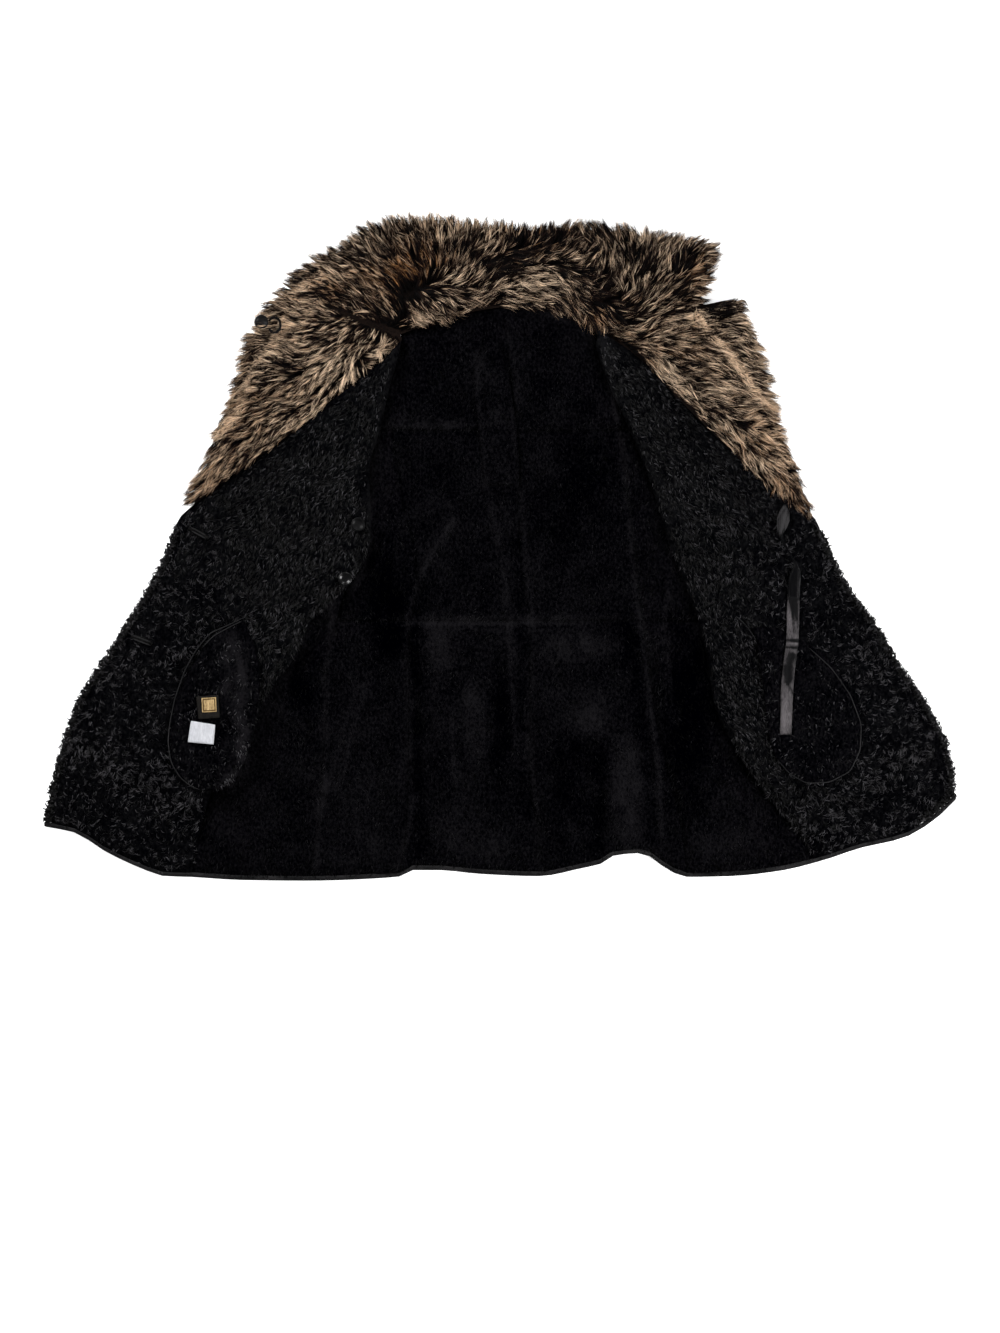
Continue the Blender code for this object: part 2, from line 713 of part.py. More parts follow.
def make_collar():
    """Long-fur collar beyond the neckline, with its leather below."""
    low = np.vstack([GORGE_LEFT[::-1], NECK_LEFT[1:], NECK_RIGHT[1:], GORGE_RIGHT[1:8]])
    us = rows_of(low, low)
    first = line_at(np.column_stack([COLLAR_TOP["x"], COLLAR_TOP["y"]]), us)
    vs = spread(6)
    left = line_at([first[0], (-232, 388), (-262, 372), low[0]], vs)
    right = line_at([first[-1], (288, 388), (276, 352), low[-1]], vs)
    grid = patch_points(left, right, first, low, us, vs)
    panel("collar", grid, lambda x, y: 0 * x + WALL_LEATHER + SEAM_GAP, fur_top, "long_fur",
          edge=11.0, rim=0.30, shoulder=0.86, inset=0.25)
    panel("under_collar", grid, lambda x, y: 0 * x, lambda x, y: 0 * x + WALL_LEATHER,
          "black_leather", inset=2.0, edge=5.0, rim=0.6, shoulder=1.0)


def make_sleeves():
    """Two flat pieces one on the other for each sleeve."""
    for i, side in enumerate(SLEEVES["side"]):
        g = {k: v[i] for k, v in SLEEVES.items()}
        cap = np.array([g["cap_x"], g["cap_y"]], float)
        under = np.array([g["under_x"], g["under_y"]], float)
        cuff_out = np.array([g["cuff_out_x"], g["cuff_out_y"]], float)
        cuff_in = np.array([g["cuff_in_x"], g["cuff_in_y"]], float)
        us, vs = spread(4), spread(7)
        a, b = line_at([cap, cuff_out], vs), line_at([under, cuff_in], vs)
        grid = patch_points(a, b, line_at([cap, under], us), line_at([cuff_out, cuff_in], us),
                            us, vs)
        if side == "right":
            grid = grid[:, ::-1]
        low = WALL_SLEEVE + SEAM_GAP
        panel("sleeve_" + side + "_under", grid, lambda x, y: 0 * x,
              lambda x, y: 0 * x + WALL_SLEEVE, "black_leather", rim=1.0, shoulder=1.0)
        panel("sleeve_" + side + "_top", grid, lambda x, y: 0 * x + low,
              lambda x, y: 0 * x + low + WALL_SLEEVE, "black_leather", rim=0.45,
              shoulder=0.97)


def make_strip():
    """Raised strip over the centre-back seam, between neck and shoulder blades."""
    ys = np.array(CENTRE_STRIP["y"], float)
    at = np.linspace(ys[0], ys[-1], 11)
    a = np.column_stack([smooth(ys, CENTRE_STRIP["x_left"], at), at])
    b = np.column_stack([smooth(ys, CENTRE_STRIP["x_right"], at), at])
    us = spread(4)
    grid = patch_points(a, b, line_at([a[0], b[0]], us), line_at([a[-1], b[-1]], us), us,
                        rows_of(a, b))
    height = ground(["back_yoke_left", "back_yoke_right", "back_middle_left",
                     "back_middle_right"])
    rest = on_top(height, 11.0)
    panel("centre_strip", grid, rest, lambda x, y: rest(x, y) + 5.5, "clipped_fleece",
          rim=0.4, shoulder=0.85, flat=False)


def make_pockets():
    for side, t in (("left", POCKET_LEFT), ("right", POCKET_RIGHT)):
        ys = np.array(t["y"], float)
        at = ys[0] + spread(11, 0.25) * (ys[-1] - ys[0])
        a = np.column_stack([smooth(ys, t["x_left"], at), at])
        b = np.column_stack([smooth(ys, t["x_right"], at), at])
        us = spread(7)
        grid = patch_points(a, b, line_at([a[0], b[0]], us), line_at([a[-1], b[-1]], us), us,
                            rows_of(a, b))
        names = ["front_" + side] + (["side_front_left"] if side == "left" else [])
        rest = on_top(ground(names), 16.0)
        panel("pocket_bag_" + side, grid, rest, lambda x, y: rest(x, y) + POCKET_WALL,
              "clipped_fleece", rim=0.5, shoulder=0.88, flat=False)


def make_labels():
    height = ground(["pocket_bag_left", "front_left"])
    t = LABELS
    for i, name in enumerate(t["name"]):
        c = np.array([(t["x%d" % k][i], t["y%d" % k][i]) for k in range(4)], float)
        if name == "label_square":
            height = ground(["label_woven"])
        elif name == "label_care":
            height = ground(["pocket_bag_left", "front_left"])
        us = spread(4)
        grid = patch_points(line_at([c[0], c[3]], us), line_at([c[1], c[2]], us),
                            line_at([c[0], c[1]], us), line_at([c[3], c[2]], us), us, us)
        level = max(height(p[0], p[1], 3.0) for p in grid.reshape(-1, 2)) + SEAM_GAP
        thick = t["thick"][i]
        panel(name, grid, lambda x, y: 0 * x + level, lambda x, y: 0 * x + level + thick,
              {"label_woven": "black_weave", "label_square": "gold_weave",
               "label_care": "white_satin"}[name], rim=1.0, shoulder=1.0, inset=0.0, edge=1.0)


def disc(name, x, y, z, wide, thick, material, rim=0.7):
    """Button: flat back, rounded rim, shallow dish on top."""
    n = 16
    r = wide / 2
    rings = [(r - 0.6, 0.0), (r, 0.25), (r, 0.6), (r - 1.0, 0.92), (r - 2.2, 1.0),
             (r - 3.6, 0.80)]
    verts, faces = [], []
    for radius, share in rings:
        for k in range(n):
            a = 2 * math.pi * k / n
            verts.append((x + radius * math.cos(a), y + radius * math.sin(a), z + share * thick))
    for q in range(len(rings) - 1):
        for k in range(n):
            m = (k + 1) % n
            faces.append((q * n + k, q * n + m, (q + 1) * n + m, (q + 1) * n + k))
    faces.append(tuple(range(n - 1, -1, -1)))
    faces.append(tuple((len(rings) - 1) * n + k for k in range(n)))
    add_piece(name, verts, faces, material)


def make_buttons():
    t = DISCS
    for i, name in enumerate(t["name"]):
        x, y, wide, thick = t["x"][i], t["y"][i], t["wide"][i], t["thick"][i]
        if name.startswith("button"):
            z = 0.0
        else:
            names = (["front_left", "side_upper_left"] if name.startswith("inner")
                     else ["lapel_left"])
            height = ground(names)
            z = max(height(x, y, wide / 2 * s) for s in (0.3, 0.6, 1.0)) + SEAM_GAP
        disc(name, x, y, z, wide, thick,
             "dark_button" if name == "collar_button" else "black_button")


def tube(name, path, radius, material, sides=6):
    """Round cord along a path of points."""
    verts, faces = [], []
    n = len(path)
    for k in range(n):
        a = np.array(path[max(k - 1, 0)], float)
        b = np.array(path[min(k + 1, n - 1)], float)
        d = (b - a) / np.linalg.norm(b - a)
        side = np.cross(d, (0, 0, 1))
        side /= np.linalg.norm(side)
        up = np.cross(side, d)
        for q in range(sides):
            t = 2 * math.pi * q / sides
            verts.append(tuple(np.array(path[k]) + radius * (math.cos(t) * side
                                                             + math.sin(t) * up)))
    for k in range(n - 1):
        for q in range(sides):
            r = (q + 1) % sides
            faces.append((k * sides + q, (k + 1) * sides + q, (k + 1) * sides + r,
                          k * sides + r))
    faces.append(tuple(range(sides)))
    faces.append(tuple((n - 1) * sides + q for q in range(sides - 1, -1, -1)))
    add_piece(name, verts, faces, material)


def make_trim():
    """Loop by the collar button, bound buttonholes and the inner strap."""
    height = ground(["lapel_left"])
    path = []
    for k in range(13):
        a = math.radians(-150 + 25 * k)
        x, y = -296 + 8 * math.cos(a), 294 + 10 * math.sin(a)
        path.append((x, y, height(x, y, 3.0) + SEAM_GAP + 1.3))
    level = max(p[2] for p in path)
    tube("collar_loop", [(x, y, level) for x, y, _ in path], 1.2, "black_leather")
    t = BUTTONHOLES
    height = ground(["front_left"])
    for i, name in enumerate(t["name"]):
        x, y, a = t["x"][i], t["y"][i], math.radians(t["angle"][i])
        d = np.array([math.cos(a), math.sin(a)])
        s = np.array([-d[1], d[0]])
        us, vs = spread(6), spread(4)
        half, wide = BUTTONHOLE / 2, 3.4
        grid = np.array([[np.array([x, y]) + d * half * (2 * u - 1)
                          - s * wide * (2 * v - 1) * math.sqrt(max(1 - 0.7 * (2 * u - 1) ** 2, 0))
                          for u in us] for v in vs])
        rest = on_top(height, 4.0)
        slit = lambda px, py: rest(px, py) + 1.8 - 1.2 * np.exp(
            -(((px - x) * s[0] + (py - y) * s[1]) / 0.9) ** 2)
        panel(name, grid, rest, slit, "black_leather", rim=0.5, shoulder=0.9, edge=0.7,
              inset=0.0, flat=False)
    t = STRAP
    p = np.column_stack([t["x"], t["y"]]).astype(float)
    fine = spread(2 * (len(p) - 1))
    s = np.r_[0, np.cumsum(np.linalg.norm(np.diff(p, axis=0), axis=1))]
    s /= s[-1]
    line = np.column_stack([smooth(s, p[:, 0], fine), smooth(s, p[:, 1], fine)])
    wide = smooth(s, t["width"], fine)
    lift = smooth(s, t["lift"], fine)
    d = np.gradient(line, axis=0)
    d /= np.linalg.norm(d, axis=1, keepdims=True)
    across = np.column_stack([-d[:, 1], d[:, 0]])
    us = np.array([1.0, 0.0])
    grid = np.array([[line[k] + across[k] * wide[k] * (u - 0.5) for u in us]
                     for k in range(len(line))])
    height = ground(["front_right", "pocket_bag_right", "lapel_right"])
    levels = np.array([max(height(q[0], q[1], 13.0) for q in (grid[k, 0], line[k], grid[k, 1]))
                       for k in range(len(line))])
    levels = levels + SEAM_GAP + np.clip(lift - 2.0, 0, None)
    verts, faces = [], []
    n = len(line)
    for k in range(n):
        for q, dz in ((grid[k, 0], 0.0), (grid[k, 1], 0.0), (grid[k, 1], 2.0),
                      (grid[k, 0], 2.0)):
            verts.append((q[0], q[1], levels[k] + dz))
    for k in range(n - 1):
        for r in range(4):
            q = (r + 1) % 4
            faces.append((k * 4 + r, (k + 1) * 4 + r, (k + 1) * 4 + q, k * 4 + q))
    faces.append((0, 1, 2, 3))
    faces.append(tuple((n - 1) * 4 + r for r in (3, 2, 1, 0)))
    add_piece("strap", verts, faces, "black_satin")


# ---- the coat ---------------------------------------------------------------------------
def face_out(obj):
    """Turn every face of a closed body outwards."""
    mesh = obj.data
    volume = 0.0
    mesh.calc_loop_triangles()
    for tri in mesh.loop_triangles:
        a, b, c = (mesh.vertices[i].co for i in tri.vertices)
        volume += a.dot(b.cross(c))
    if volume < 0:
        mesh.flip_normals()
    mesh.update()


def build():
    for obj in list(bpy.data.objects):
        bpy.data.objects.remove(obj, do_unlink=True)
    hems = make_body()
    make_sleeves()
    hem_left = lapel_and_front("left", 10)
    hem_right = lapel_and_front("right", 10)
    make_collar()
    for name, grid in hems.items():
        hem_band(name, grid[-1])
    hem_band("hem_front_left", hem_left)
    hem_band("hem_front_right", hem_right)
    make_strip()
    make_pockets()
    make_labels()
    make_buttons()
    make_trim()
    every = np.array([v for verts, _, _ in PIECES.values() for v in verts])
    low, high = every.min(axis=0), every.max(axis=0)
    shift = np.array([-(low[0] + high[0]) / 2, -(low[1] + high[1]) / 2, -low[2]])
    paints = {}
    for name, (colour, rough) in MATERIALS.items():
        mat = bpy.data.materials.new(name)
        mat.use_nodes = True
        shader = mat.node_tree.nodes["Principled BSDF"]
        shader.inputs["Base Color"].default_value = colour
        shader.inputs["Roughness"].default_value = rough
        paints[name] = mat
    for name, (verts, faces, material) in PIECES.items():
        mesh = bpy.data.meshes.new(name)
        mesh.from_pydata([tuple((np.array(v) + shift) * SCALE) for v in verts], [], faces)
        mesh.update()
        obj = bpy.data.objects.new(name, mesh)
        bpy.context.scene.collection.objects.link(obj)
        mesh.materials.append(paints[material])
        face_out(obj)


build()
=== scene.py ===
"""Sheepskin coat with a long-haired collar, laid open on its back with the fleece up."""
import functools
import math

import bpy
import numpy as np
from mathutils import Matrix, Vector
from mathutils.bvhtree import BVHTree
from mathutils.geometry import delaunay_2d_cdt


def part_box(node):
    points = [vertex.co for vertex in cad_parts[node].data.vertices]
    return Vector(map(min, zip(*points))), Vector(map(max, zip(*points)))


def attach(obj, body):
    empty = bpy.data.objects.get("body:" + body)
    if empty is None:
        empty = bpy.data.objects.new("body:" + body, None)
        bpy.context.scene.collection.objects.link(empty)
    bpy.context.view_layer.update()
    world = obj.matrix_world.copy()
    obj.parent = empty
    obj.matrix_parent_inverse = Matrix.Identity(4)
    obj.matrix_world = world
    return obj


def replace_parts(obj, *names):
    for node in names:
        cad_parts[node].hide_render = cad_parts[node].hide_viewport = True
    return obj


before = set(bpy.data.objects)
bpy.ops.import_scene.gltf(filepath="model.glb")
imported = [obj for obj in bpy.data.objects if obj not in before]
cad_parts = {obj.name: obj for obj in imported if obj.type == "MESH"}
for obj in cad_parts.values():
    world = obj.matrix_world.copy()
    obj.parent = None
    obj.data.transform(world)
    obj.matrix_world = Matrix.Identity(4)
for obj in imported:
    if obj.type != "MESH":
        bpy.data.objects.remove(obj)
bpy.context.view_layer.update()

# ---------------------------------------------------------------- places on the coat
# The tables below give places on the plan in steps across and down from its top left corner.
PLAN_STEP = 0.00132
PLAN_ORIGIN = (499.5, 549.0)
PLAN_SIZE = (1000, 1333)
BUTTON_PLACE = (0.401, 0.001)     # the upper front button in the plan, in metres: it sets SHIFT
SEAM_MEET = 0.0005                # how far a panel reaches out to meet the one sewn to it

button_low, button_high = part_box("button_upper")
SHIFT = ((button_low + button_high) / 2).xy - Vector(BUTTON_PLACE)


def spot(across, down):
    """A place of the plan tables, in metres."""
    x = (across - PLAN_ORIGIN[0]) * PLAN_STEP + SHIFT.x
    y = (PLAN_ORIGIN[1] - down) * PLAN_STEP + SHIFT.y
    return x, y


def spots(rows):
    return np.array([spot(row[0], row[1]) for row in rows])


# Which way the long fur lies: across, down, heading in degrees (0 is right, 90 is to the nape).
COLLAR_FLOW = [
    (385, 230, 125), (415, 230, 106), (450, 232, 98), (470, 232, 92), (485, 238, 86),
    (493, 246, 74), (505, 232, 84), (515, 242, 95), (535, 233, 86), (552, 229, 80),
    (562, 246, 50), (577, 250, 55), (585, 258, 35), (590, 234, 108), (600, 246, 165),
    (612, 245, 132), (625, 238, 118), (640, 240, 90), (655, 244, 64), (665, 244, 54),
    (676, 240, 45), (690, 243, 26), (706, 246, 12), (716, 253, 2), (700, 262, 12),
    (710, 268, 24), (700, 276, 28), (665, 270, 74), (676, 262, 96), (645, 286, 62),
    (665, 284, 36), (690, 286, 20), (700, 293, 335), (675, 300, 15), (650, 310, 26),
    (690, 305, 18), (700, 316, 0), (640, 326, 20), (660, 330, 24), (628, 316, 24),
    (603, 274, 96), (612, 270, 98), (620, 275, 116), (608, 291, 44), (625, 291, 100),
    (640, 285, 66), (600, 305, 280), (598, 322, 262), (612, 322, 300),
    (385, 262, 151), (380, 293, 152), (378, 315, 148), (390, 300, 126), (388, 316, 124),
    (416, 272, 146), (428, 262, 118), (440, 255, 100), (451, 262, 58), (457, 284, 22),
    (456, 296, 345), (446, 304, 315), (431, 302, 315), (415, 303, 300), (419, 318, 345),
    (470, 272, 58), (478, 258, 62), (482, 284, 50), (484, 300, 34), (472, 308, 22),
    (500, 290, 12), (505, 266, 8), (511, 256, 338), (530, 262, 28), (546, 269, 323),
    (560, 276, 320), (571, 281, 320), (516, 282, 356), (531, 288, 345), (546, 295, 335),
    (560, 298, 318), (560, 309, 300), (576, 300, 315), (505, 300, 355), (528, 300, 340),
    (350, 250, 155), (345, 260, 165), (330, 263, 165), (305, 276, 170), (290, 286, 166),
    (276, 296, 166), (263, 310, 172), (362, 240, 146), (376, 250, 136), (300, 298, 174),
    (322, 284, 178), (332, 310, 162), (302, 320, 160), (345, 320, 150), (360, 300, 150),
    (398, 333, 8), (376, 334, 340), (360, 326, 160),
]
LAPEL_LEFT_FLOW = [
    (262, 318, 176), (250, 342, 190), (255, 354, 200), (245, 366, 205), (240, 385, 208),
    (232, 402, 215), (224, 418, 218), (217, 438, 222), (276, 330, 178), (300, 345, 178),
    (320, 345, 206), (335, 356, 217), (290, 366, 162), (302, 320, 160), (332, 312, 162),
    (325, 376, 230), (340, 376, 247), (336, 392, 262), (355, 367, 283), (350, 380, 268),
    (370, 360, 34), (380, 352, 30), (366, 373, 320), (372, 344, 200), (385, 345, 250),
    (300, 386, 202), (310, 396, 216), (265, 386, 188), (256, 376, 196), (267, 398, 204),
    (281, 394, 208), (313, 400, 226), (327, 391, 248), (254, 424, 210), (274, 417, 205),
    (294, 410, 215), (307, 411, 224), (241, 437, 234), (249, 444, 252), (262, 436, 215),
    (280, 427, 226), (228, 457, 235), (235, 463, 216), (215, 467, 232), (222, 473, 222),
    (267, 446, 208), (201, 484, 225), (209, 486, 215), (188, 500, 218), (182, 510, 225),
]
LAPEL_RIGHT_FLOW = [
    (722, 308, 22), (736, 308, 12), (748, 306, 350), (725, 321, 350), (745, 322, 338),
    (735, 335, 340), (755, 341, 340), (745, 351, 335), (760, 356, 336), (755, 367, 340),
    (768, 376, 346), (776, 386, 350), (771, 402, 344), (776, 412, 338), (771, 420, 342),
    (640, 330, 18), (660, 334, 22), (680, 336, 18), (665, 346, 8), (690, 346, 350),
    (660, 360, 350), (685, 366, 340), (656, 357, 290), (669, 368, 325), (673, 377, 345),
    (697, 366, 350), (697, 376, 350), (714, 378, 340), (730, 366, 322), (738, 372, 325),
    (689, 388, 342), (684, 397, 335), (714, 399, 350), (728, 400, 15), (738, 414, 50),
    (727, 420, 275), (717, 415, 320), (738, 430, 320), (745, 436, 315), (755, 421, 352),
    (763, 432, 340), (770, 441, 336), (771, 452, 325), (786, 449, 312), (782, 464, 310),
    (745, 455, 272), (757, 462, 300), (771, 472, 308), (777, 490, 265), (786, 494, 275),
    (795, 489, 300), (804, 498, 300), (812, 513, 292), (791, 462, 306), (793, 478, 305),
]
# Light and dark places of the fur: across, down, reach, change of tone, change of warmth. The
# tone is partly the fur's own and partly painted shade in its hollows and clefts and painted
# highlight on its ridges.
COLLAR_PATCHES = [
    (413, 258, 26, 0.02, 0.70), (395, 280, 24, -0.06, 0.55), (440, 262, 18, -0.16, 0.35),
    (430, 286, 13, -0.45, 0.1), (404, 300, 14, -0.30, 0.1), (424, 321, 8, 0.45, -0.2),
    (466, 247, 8, -0.40, 0.0), (472, 285, 7, -0.36, 0.0), (457, 270, 9, 0.22, -0.2),
    (456, 278, 8, 0.26, -0.2), (491, 244, 10, 0.30, -0.2), (515, 242, 16, -0.20, 0.30),
    (495, 265, 12, -0.42, 0.0), (515, 263, 14, -0.36, 0.0), (535, 252, 14, -0.16, 0.1),
    (516, 285, 18, 0.14, -0.2), (548, 274, 20, 0.16, -0.25), (552, 297, 12, 0.10, -0.2),
    (590, 272, 16, -0.36, 0.0), (583, 256, 10, 0.24, -0.1), (600, 240, 16, -0.30, 0.1),
    (614, 268, 12, 0.16, -0.1), (601, 304, 10, -0.40, 0.5), (598, 322, 10, 0.10, 0.6),
    (634, 252, 12, -0.26, 0.1), (651, 268, 9, -0.36, 0.0), (680, 259, 6, -0.50, 0.1),
    (674, 262, 4, 0.36, 0.1), (646, 240, 12, 0.14, -0.1), (690, 285, 12, -0.24, 0.2),
    (700, 272, 12, -0.10, 0.5), (699, 316, 8, 0.44, 0.3), (660, 322, 18, 0.06, -0.2),
    (620, 318, 14, -0.24, 0.1), (640, 300, 18, -0.10, 0.2), (338, 293, 8, -0.45, 0.4),
    (324, 290, 16, 0.02, 0.5), (362, 272, 14, 0.06, 0.4), (276, 314, 7, -0.06, 0.3),
    (350, 320, 20, -0.06, 0.1), (385, 322, 16, -0.26, 0.1), (300, 308, 14, -0.06, 0.1),
    (430, 228, 40, 0.12, -0.1), (575, 235, 26, -0.08, 0.1), (480, 303, 10, 0.06, 0.0),
    (560, 262, 10, -0.10, 0.1), (545, 236, 14, -0.16, 0.2), (396, 333, 6, 0.20, 0.0),
]
LAPEL_LEFT_PATCHES = [
    (285, 375, 10, -0.36, 0.1), (262, 375, 10, -0.10, -0.2), (352, 372, 12, 0.26, -0.4),
    (338, 384, 12, 0.22, -0.4), (378, 353, 8, 0.20, -0.3), (362, 352, 9, -0.30, 0.0),
    (372, 372, 8, -0.30, 0.0), (300, 395, 14, -0.16, 0.1), (296, 350, 22, -0.08, 0.1),
    (335, 335, 18, -0.10, 0.0), (235, 395, 14, 0.02, 0.2), (250, 425, 16, -0.04, 0.2),
    (225, 470, 24, 0.02, 0.2), (262, 440, 16, 0.00, 0.0), (200, 492, 20, -0.02, 0.3),
    (250, 352, 14, -0.16, 0.1), (312, 412, 18, 0.04, -0.1), (240, 460, 12, -0.22, 0.0),
    (276, 415, 14, -0.14, 0.0), (184, 510, 10, -0.10, 0.4),
]
LAPEL_RIGHT_PATCHES = [
    (728, 307, 14, -0.60, -0.1), (715, 302, 8, -0.40, -0.1), (700, 350, 24, 0.00, 0.2),
    (669, 368, 10, 0.24, -0.3), (678, 384, 12, 0.22, -0.3), (640, 345, 18, -0.14, 0.1),
    (695, 372, 14, -0.22, 0.1), (700, 395, 16, 0.06, -0.2), (729, 413, 10, -0.30, 0.0),
    (727, 421, 5, 0.44, -0.3), (738, 425, 10, -0.26, -0.1), (757, 420, 14, 0.06, 0.1),
    (770, 440, 20, 0.12, 0.2), (752, 448, 8, -0.26, 0.1), (745, 456, 6, 0.10, 0.1),
    (790, 480, 20, 0.02, 0.3), (740, 335, 22, -0.12, -0.1), (768, 380, 14, -0.22, -0.1),
    (785, 505, 16, -0.20, 0.2), (777, 489, 6, 0.24, 0.2), (806, 506, 12, -0.10, 0.3),
    (664, 340, 18, -0.04, 0.0), (700, 320, 8, 0.40, 0.3), (740, 395, 16, 0.04, 0.0),
]
# Partings where the fur falls to both sides; the fur along them is painted pale as the highlight
# on their ridge.
PARTING_HIGH = [(326, 275), (313, 281), (302, 289), (290, 295), (276, 304), (269, 314)]
PARTING_LEFT = [(289, 320), (279, 337), (269, 352), (259, 364), (252, 379), (246, 394),
                (241, 408), (233, 420), (225, 429), (217, 438)]
PARTING_RIGHT = [(694, 317), (705, 332), (718, 344), (729, 355), (739, 369), (748, 384),
                 (757, 397), (766, 404), (776, 411)]
# How far to each side of a parting its painted highlight reaches, in steps.
PARTING_HIGHLIGHT_REACH = 2.6

# Ridges and hollows of the fleece: points of the line, half width in steps, height in
# millimetres and change of tone, which is painted highlight on the ridges and lit seam lines
# and painted shade in the hollows.
CREASES = [
    ([(602, 332), (615, 407), (623, 450), (629, 515), (637, 595), (645, 643), (650, 702),
      (658, 767), (662, 836)], 2.4, 2.6, 0.34),
    ([(626, 620), (636, 660), (641, 702), (648, 767), (652, 836)], 7.0, -3.6, -0.30),
    ([(650, 472), (666, 515), (672, 557), (665, 618)], 1.8, 1.8, 0.24),
    ([(662, 620), (667, 650), (672, 700)], 1.8, 1.8, 0.22),
    ([(600, 745), (601, 850)], 5.0, -2.6, -0.30),
    ([(629, 745), (631, 850)], 14.0, 2.4, 0.12),
    ([(476, 354), (479, 407), (484, 455), (485, 482)], 2.0, 1.6, 0.30),
    ([(485, 484), (495, 525), (502, 568), (508, 616), (511, 675), (516, 745)], 2.2, 1.8, 0.22),
    ([(510, 343), (519, 380), (513, 407), (516, 461), (524, 525), (527, 579), (532, 622),
      (532, 675), (529, 756), (537, 810), (540, 868)], 2.0, 1.8, 0.24),
    ([(516, 545), (523, 622), (523, 675), (520, 756), (528, 815)], 4.5, -1.8, -0.18),
    ([(454, 520), (433, 552), (419, 579), (409, 611), (406, 648), (409, 707), (409, 756)],
     2.8, 3.6, 0.30),
    ([(417, 615), (415, 690), (418, 760), (421, 850)], 5.5, -3.8, -0.34),
    ([(414, 799), (406, 836), (398, 868)], 2.6, 2.6, 0.30),
    ([(331, 600), (331, 632), (325, 675), (325, 729), (323, 783), (317, 836), (315, 868)],
     2.2, 2.8, 0.36),
    ([(374, 560), (386, 602), (393, 648)], 10.0, -3.4, -0.32),
    ([(366, 686), (352, 735), (339, 783)], 2.6, 2.0, 0.18),
    ([(355, 690), (340, 740), (325, 790)], 2.6, 1.8, 0.16),
    ([(452, 708), (454, 783)], 1.8, 1.4, 0.24),
    ([(387, 426), (484, 425)], 3.6, 1.0, 0.14),
    ([(392, 433), (480, 432), (517, 432), (625, 436)], 1.2, -1.6, -0.16),
    ([(382, 622), (460, 623), (532, 621), (623, 619)], 3.6, 1.4, 0.22),
    ([(376, 628), (460, 628), (532, 627), (628, 625)], 1.2, -1.6, -0.16),
    ([(484, 484), (518, 484)], 1.4, -1.2, 0.16),
    ([(541, 311), (580, 326), (592, 338), (608, 352)], 1.5, -1.8, 0.30),
    ([(360, 450), (350, 477), (328, 515)], 1.8, 1.6, 0.26),
    ([(211, 612), (217, 636), (240, 622)], 1.4, -1.4, 0.18),
    ([(398, 334), (390, 370), (382, 407), (372, 461), (371, 515), (369, 552), (352, 590),
      (315, 616), (298, 648), (282, 686)], 2.4, 0.6, 0.26),
    ([(607, 334), (627, 407), (651, 466), (678, 515), (702, 552)], 2.4, 0.6, 0.26),
    ([(232, 640), (240, 660), (243, 685), (240, 708), (244, 730), (243, 755), (236, 772),
      (226, 783)], 4.5, 1.6, 0.55),
    ([(226, 655), (230, 672), (226, 690)], 3.5, 0.8, 0.40),
    ([(790, 778), (800, 800), (810, 830), (823, 859)], 2.4, -2.4, -0.20),
    ([(211, 792), (202, 830), (190, 872)], 2.4, -2.2, -0.20),
]
# Blotches of the clipped fleece: across, down, reach across, reach down, change of tone. Some
# are the brushed pile's own tone; the dark ones beside the raised edges of the fronts and sides
# are painted shade, and the light ones along the seams are painted highlight.
PILE_TONE_AND_PAINTED_LIGHT = [
    (441, 648, 13, 20, 0.22), (473, 705, 11, 18, 0.20), (476, 742, 14, 22, 0.16),
    (560, 646, 26, 16, 0.18), (588, 716, 16, 20, 0.20), (590, 648, 14, 14, 0.12),
    (500, 729, 12, 55, -0.20), (300, 685, 12, 36, -0.22), (390, 600, 20, 48, -0.22),
    (690, 710, 22, 75, -0.30), (628, 797, 22, 50, 0.14), (435, 426, 48, 6, 0.10),
    (457, 622, 75, 7, 0.16), (440, 470, 40, 30, -0.06), (560, 520, 40, 60, -0.08),
    (560, 380, 40, 40, -0.04), (435, 380, 36, 36, -0.08), (350, 800, 30, 40, 0.08),
    (450, 820, 24, 30, 0.08), (560, 820, 30, 30, -0.08), (260, 800, 26, 40, 0.02),
    (480, 850, 40, 12, 0.10), (720, 840, 30, 20, 0.08), (370, 850, 26, 14, 0.10),
    (500, 455, 10, 40, 0.06), (590, 460, 20, 40, -0.10), (570, 770, 22, 30, -0.12),
]
# How coarsely the long fleece of the fronts is curled, from 0 to 1: across, down, curl.
COARSE = [
    (330, 400, 0.0), (300, 450, 0.05), (350, 500, 0.0), (250, 480, 0.12), (200, 525, 0.45),
    (300, 560, 0.06), (250, 560, 0.25), (190, 600, 0.75), (150, 625, 1.0), (285, 605, 0.2),
    (235, 600, 0.5), (120, 700, 1.0), (150, 760, 1.0), (80, 760, 1.0), (130, 830, 0.9),
    (200, 835, 0.7), (60, 800, 1.0), (280, 660, 0.3), (262, 700, 0.3), (225, 620, 0.5),
    (620, 380, 0.0), (660, 440, 0.04), (700, 480, 0.08), (680, 530, 0.0), (740, 520, 0.2),
    (700, 600, 0.15), (760, 580, 0.5), (810, 540, 1.0), (840, 600, 1.0), (800, 600, 0.9),
    (780, 640, 0.6), (720, 670, 0.04), (740, 740, 0.0), (880, 680, 1.0), (915, 760, 1.0),
    (870, 660, 1.0), (900, 820, 1.0), (765, 790, 0.3), (800, 820, 0.6), (850, 830, 0.8),
    (730, 620, 0.35), (700, 640, 0.05), (760, 770, 0.1), (780, 850, 0.5),
]
POCKET_LINES = {
    "pocket_bag_left": [
        [(246, 617), (230, 625), (211, 633), (197, 650), (186, 670), (176, 698), (171, 722),
         (169, 742), (172, 762), (181, 777), (192, 786), (203, 790)],
        [(243, 621), (229, 628), (214, 636), (203, 648)],
    ],
    "pocket_bag_right": [
        [(735, 616), (746, 626), (756, 641)],
        [(808, 648), (830, 668), (849, 695), (860, 724), (859, 750), (849, 771), (828, 782),
         (805, 783), (788, 773), (776, 759)],
    ],
}
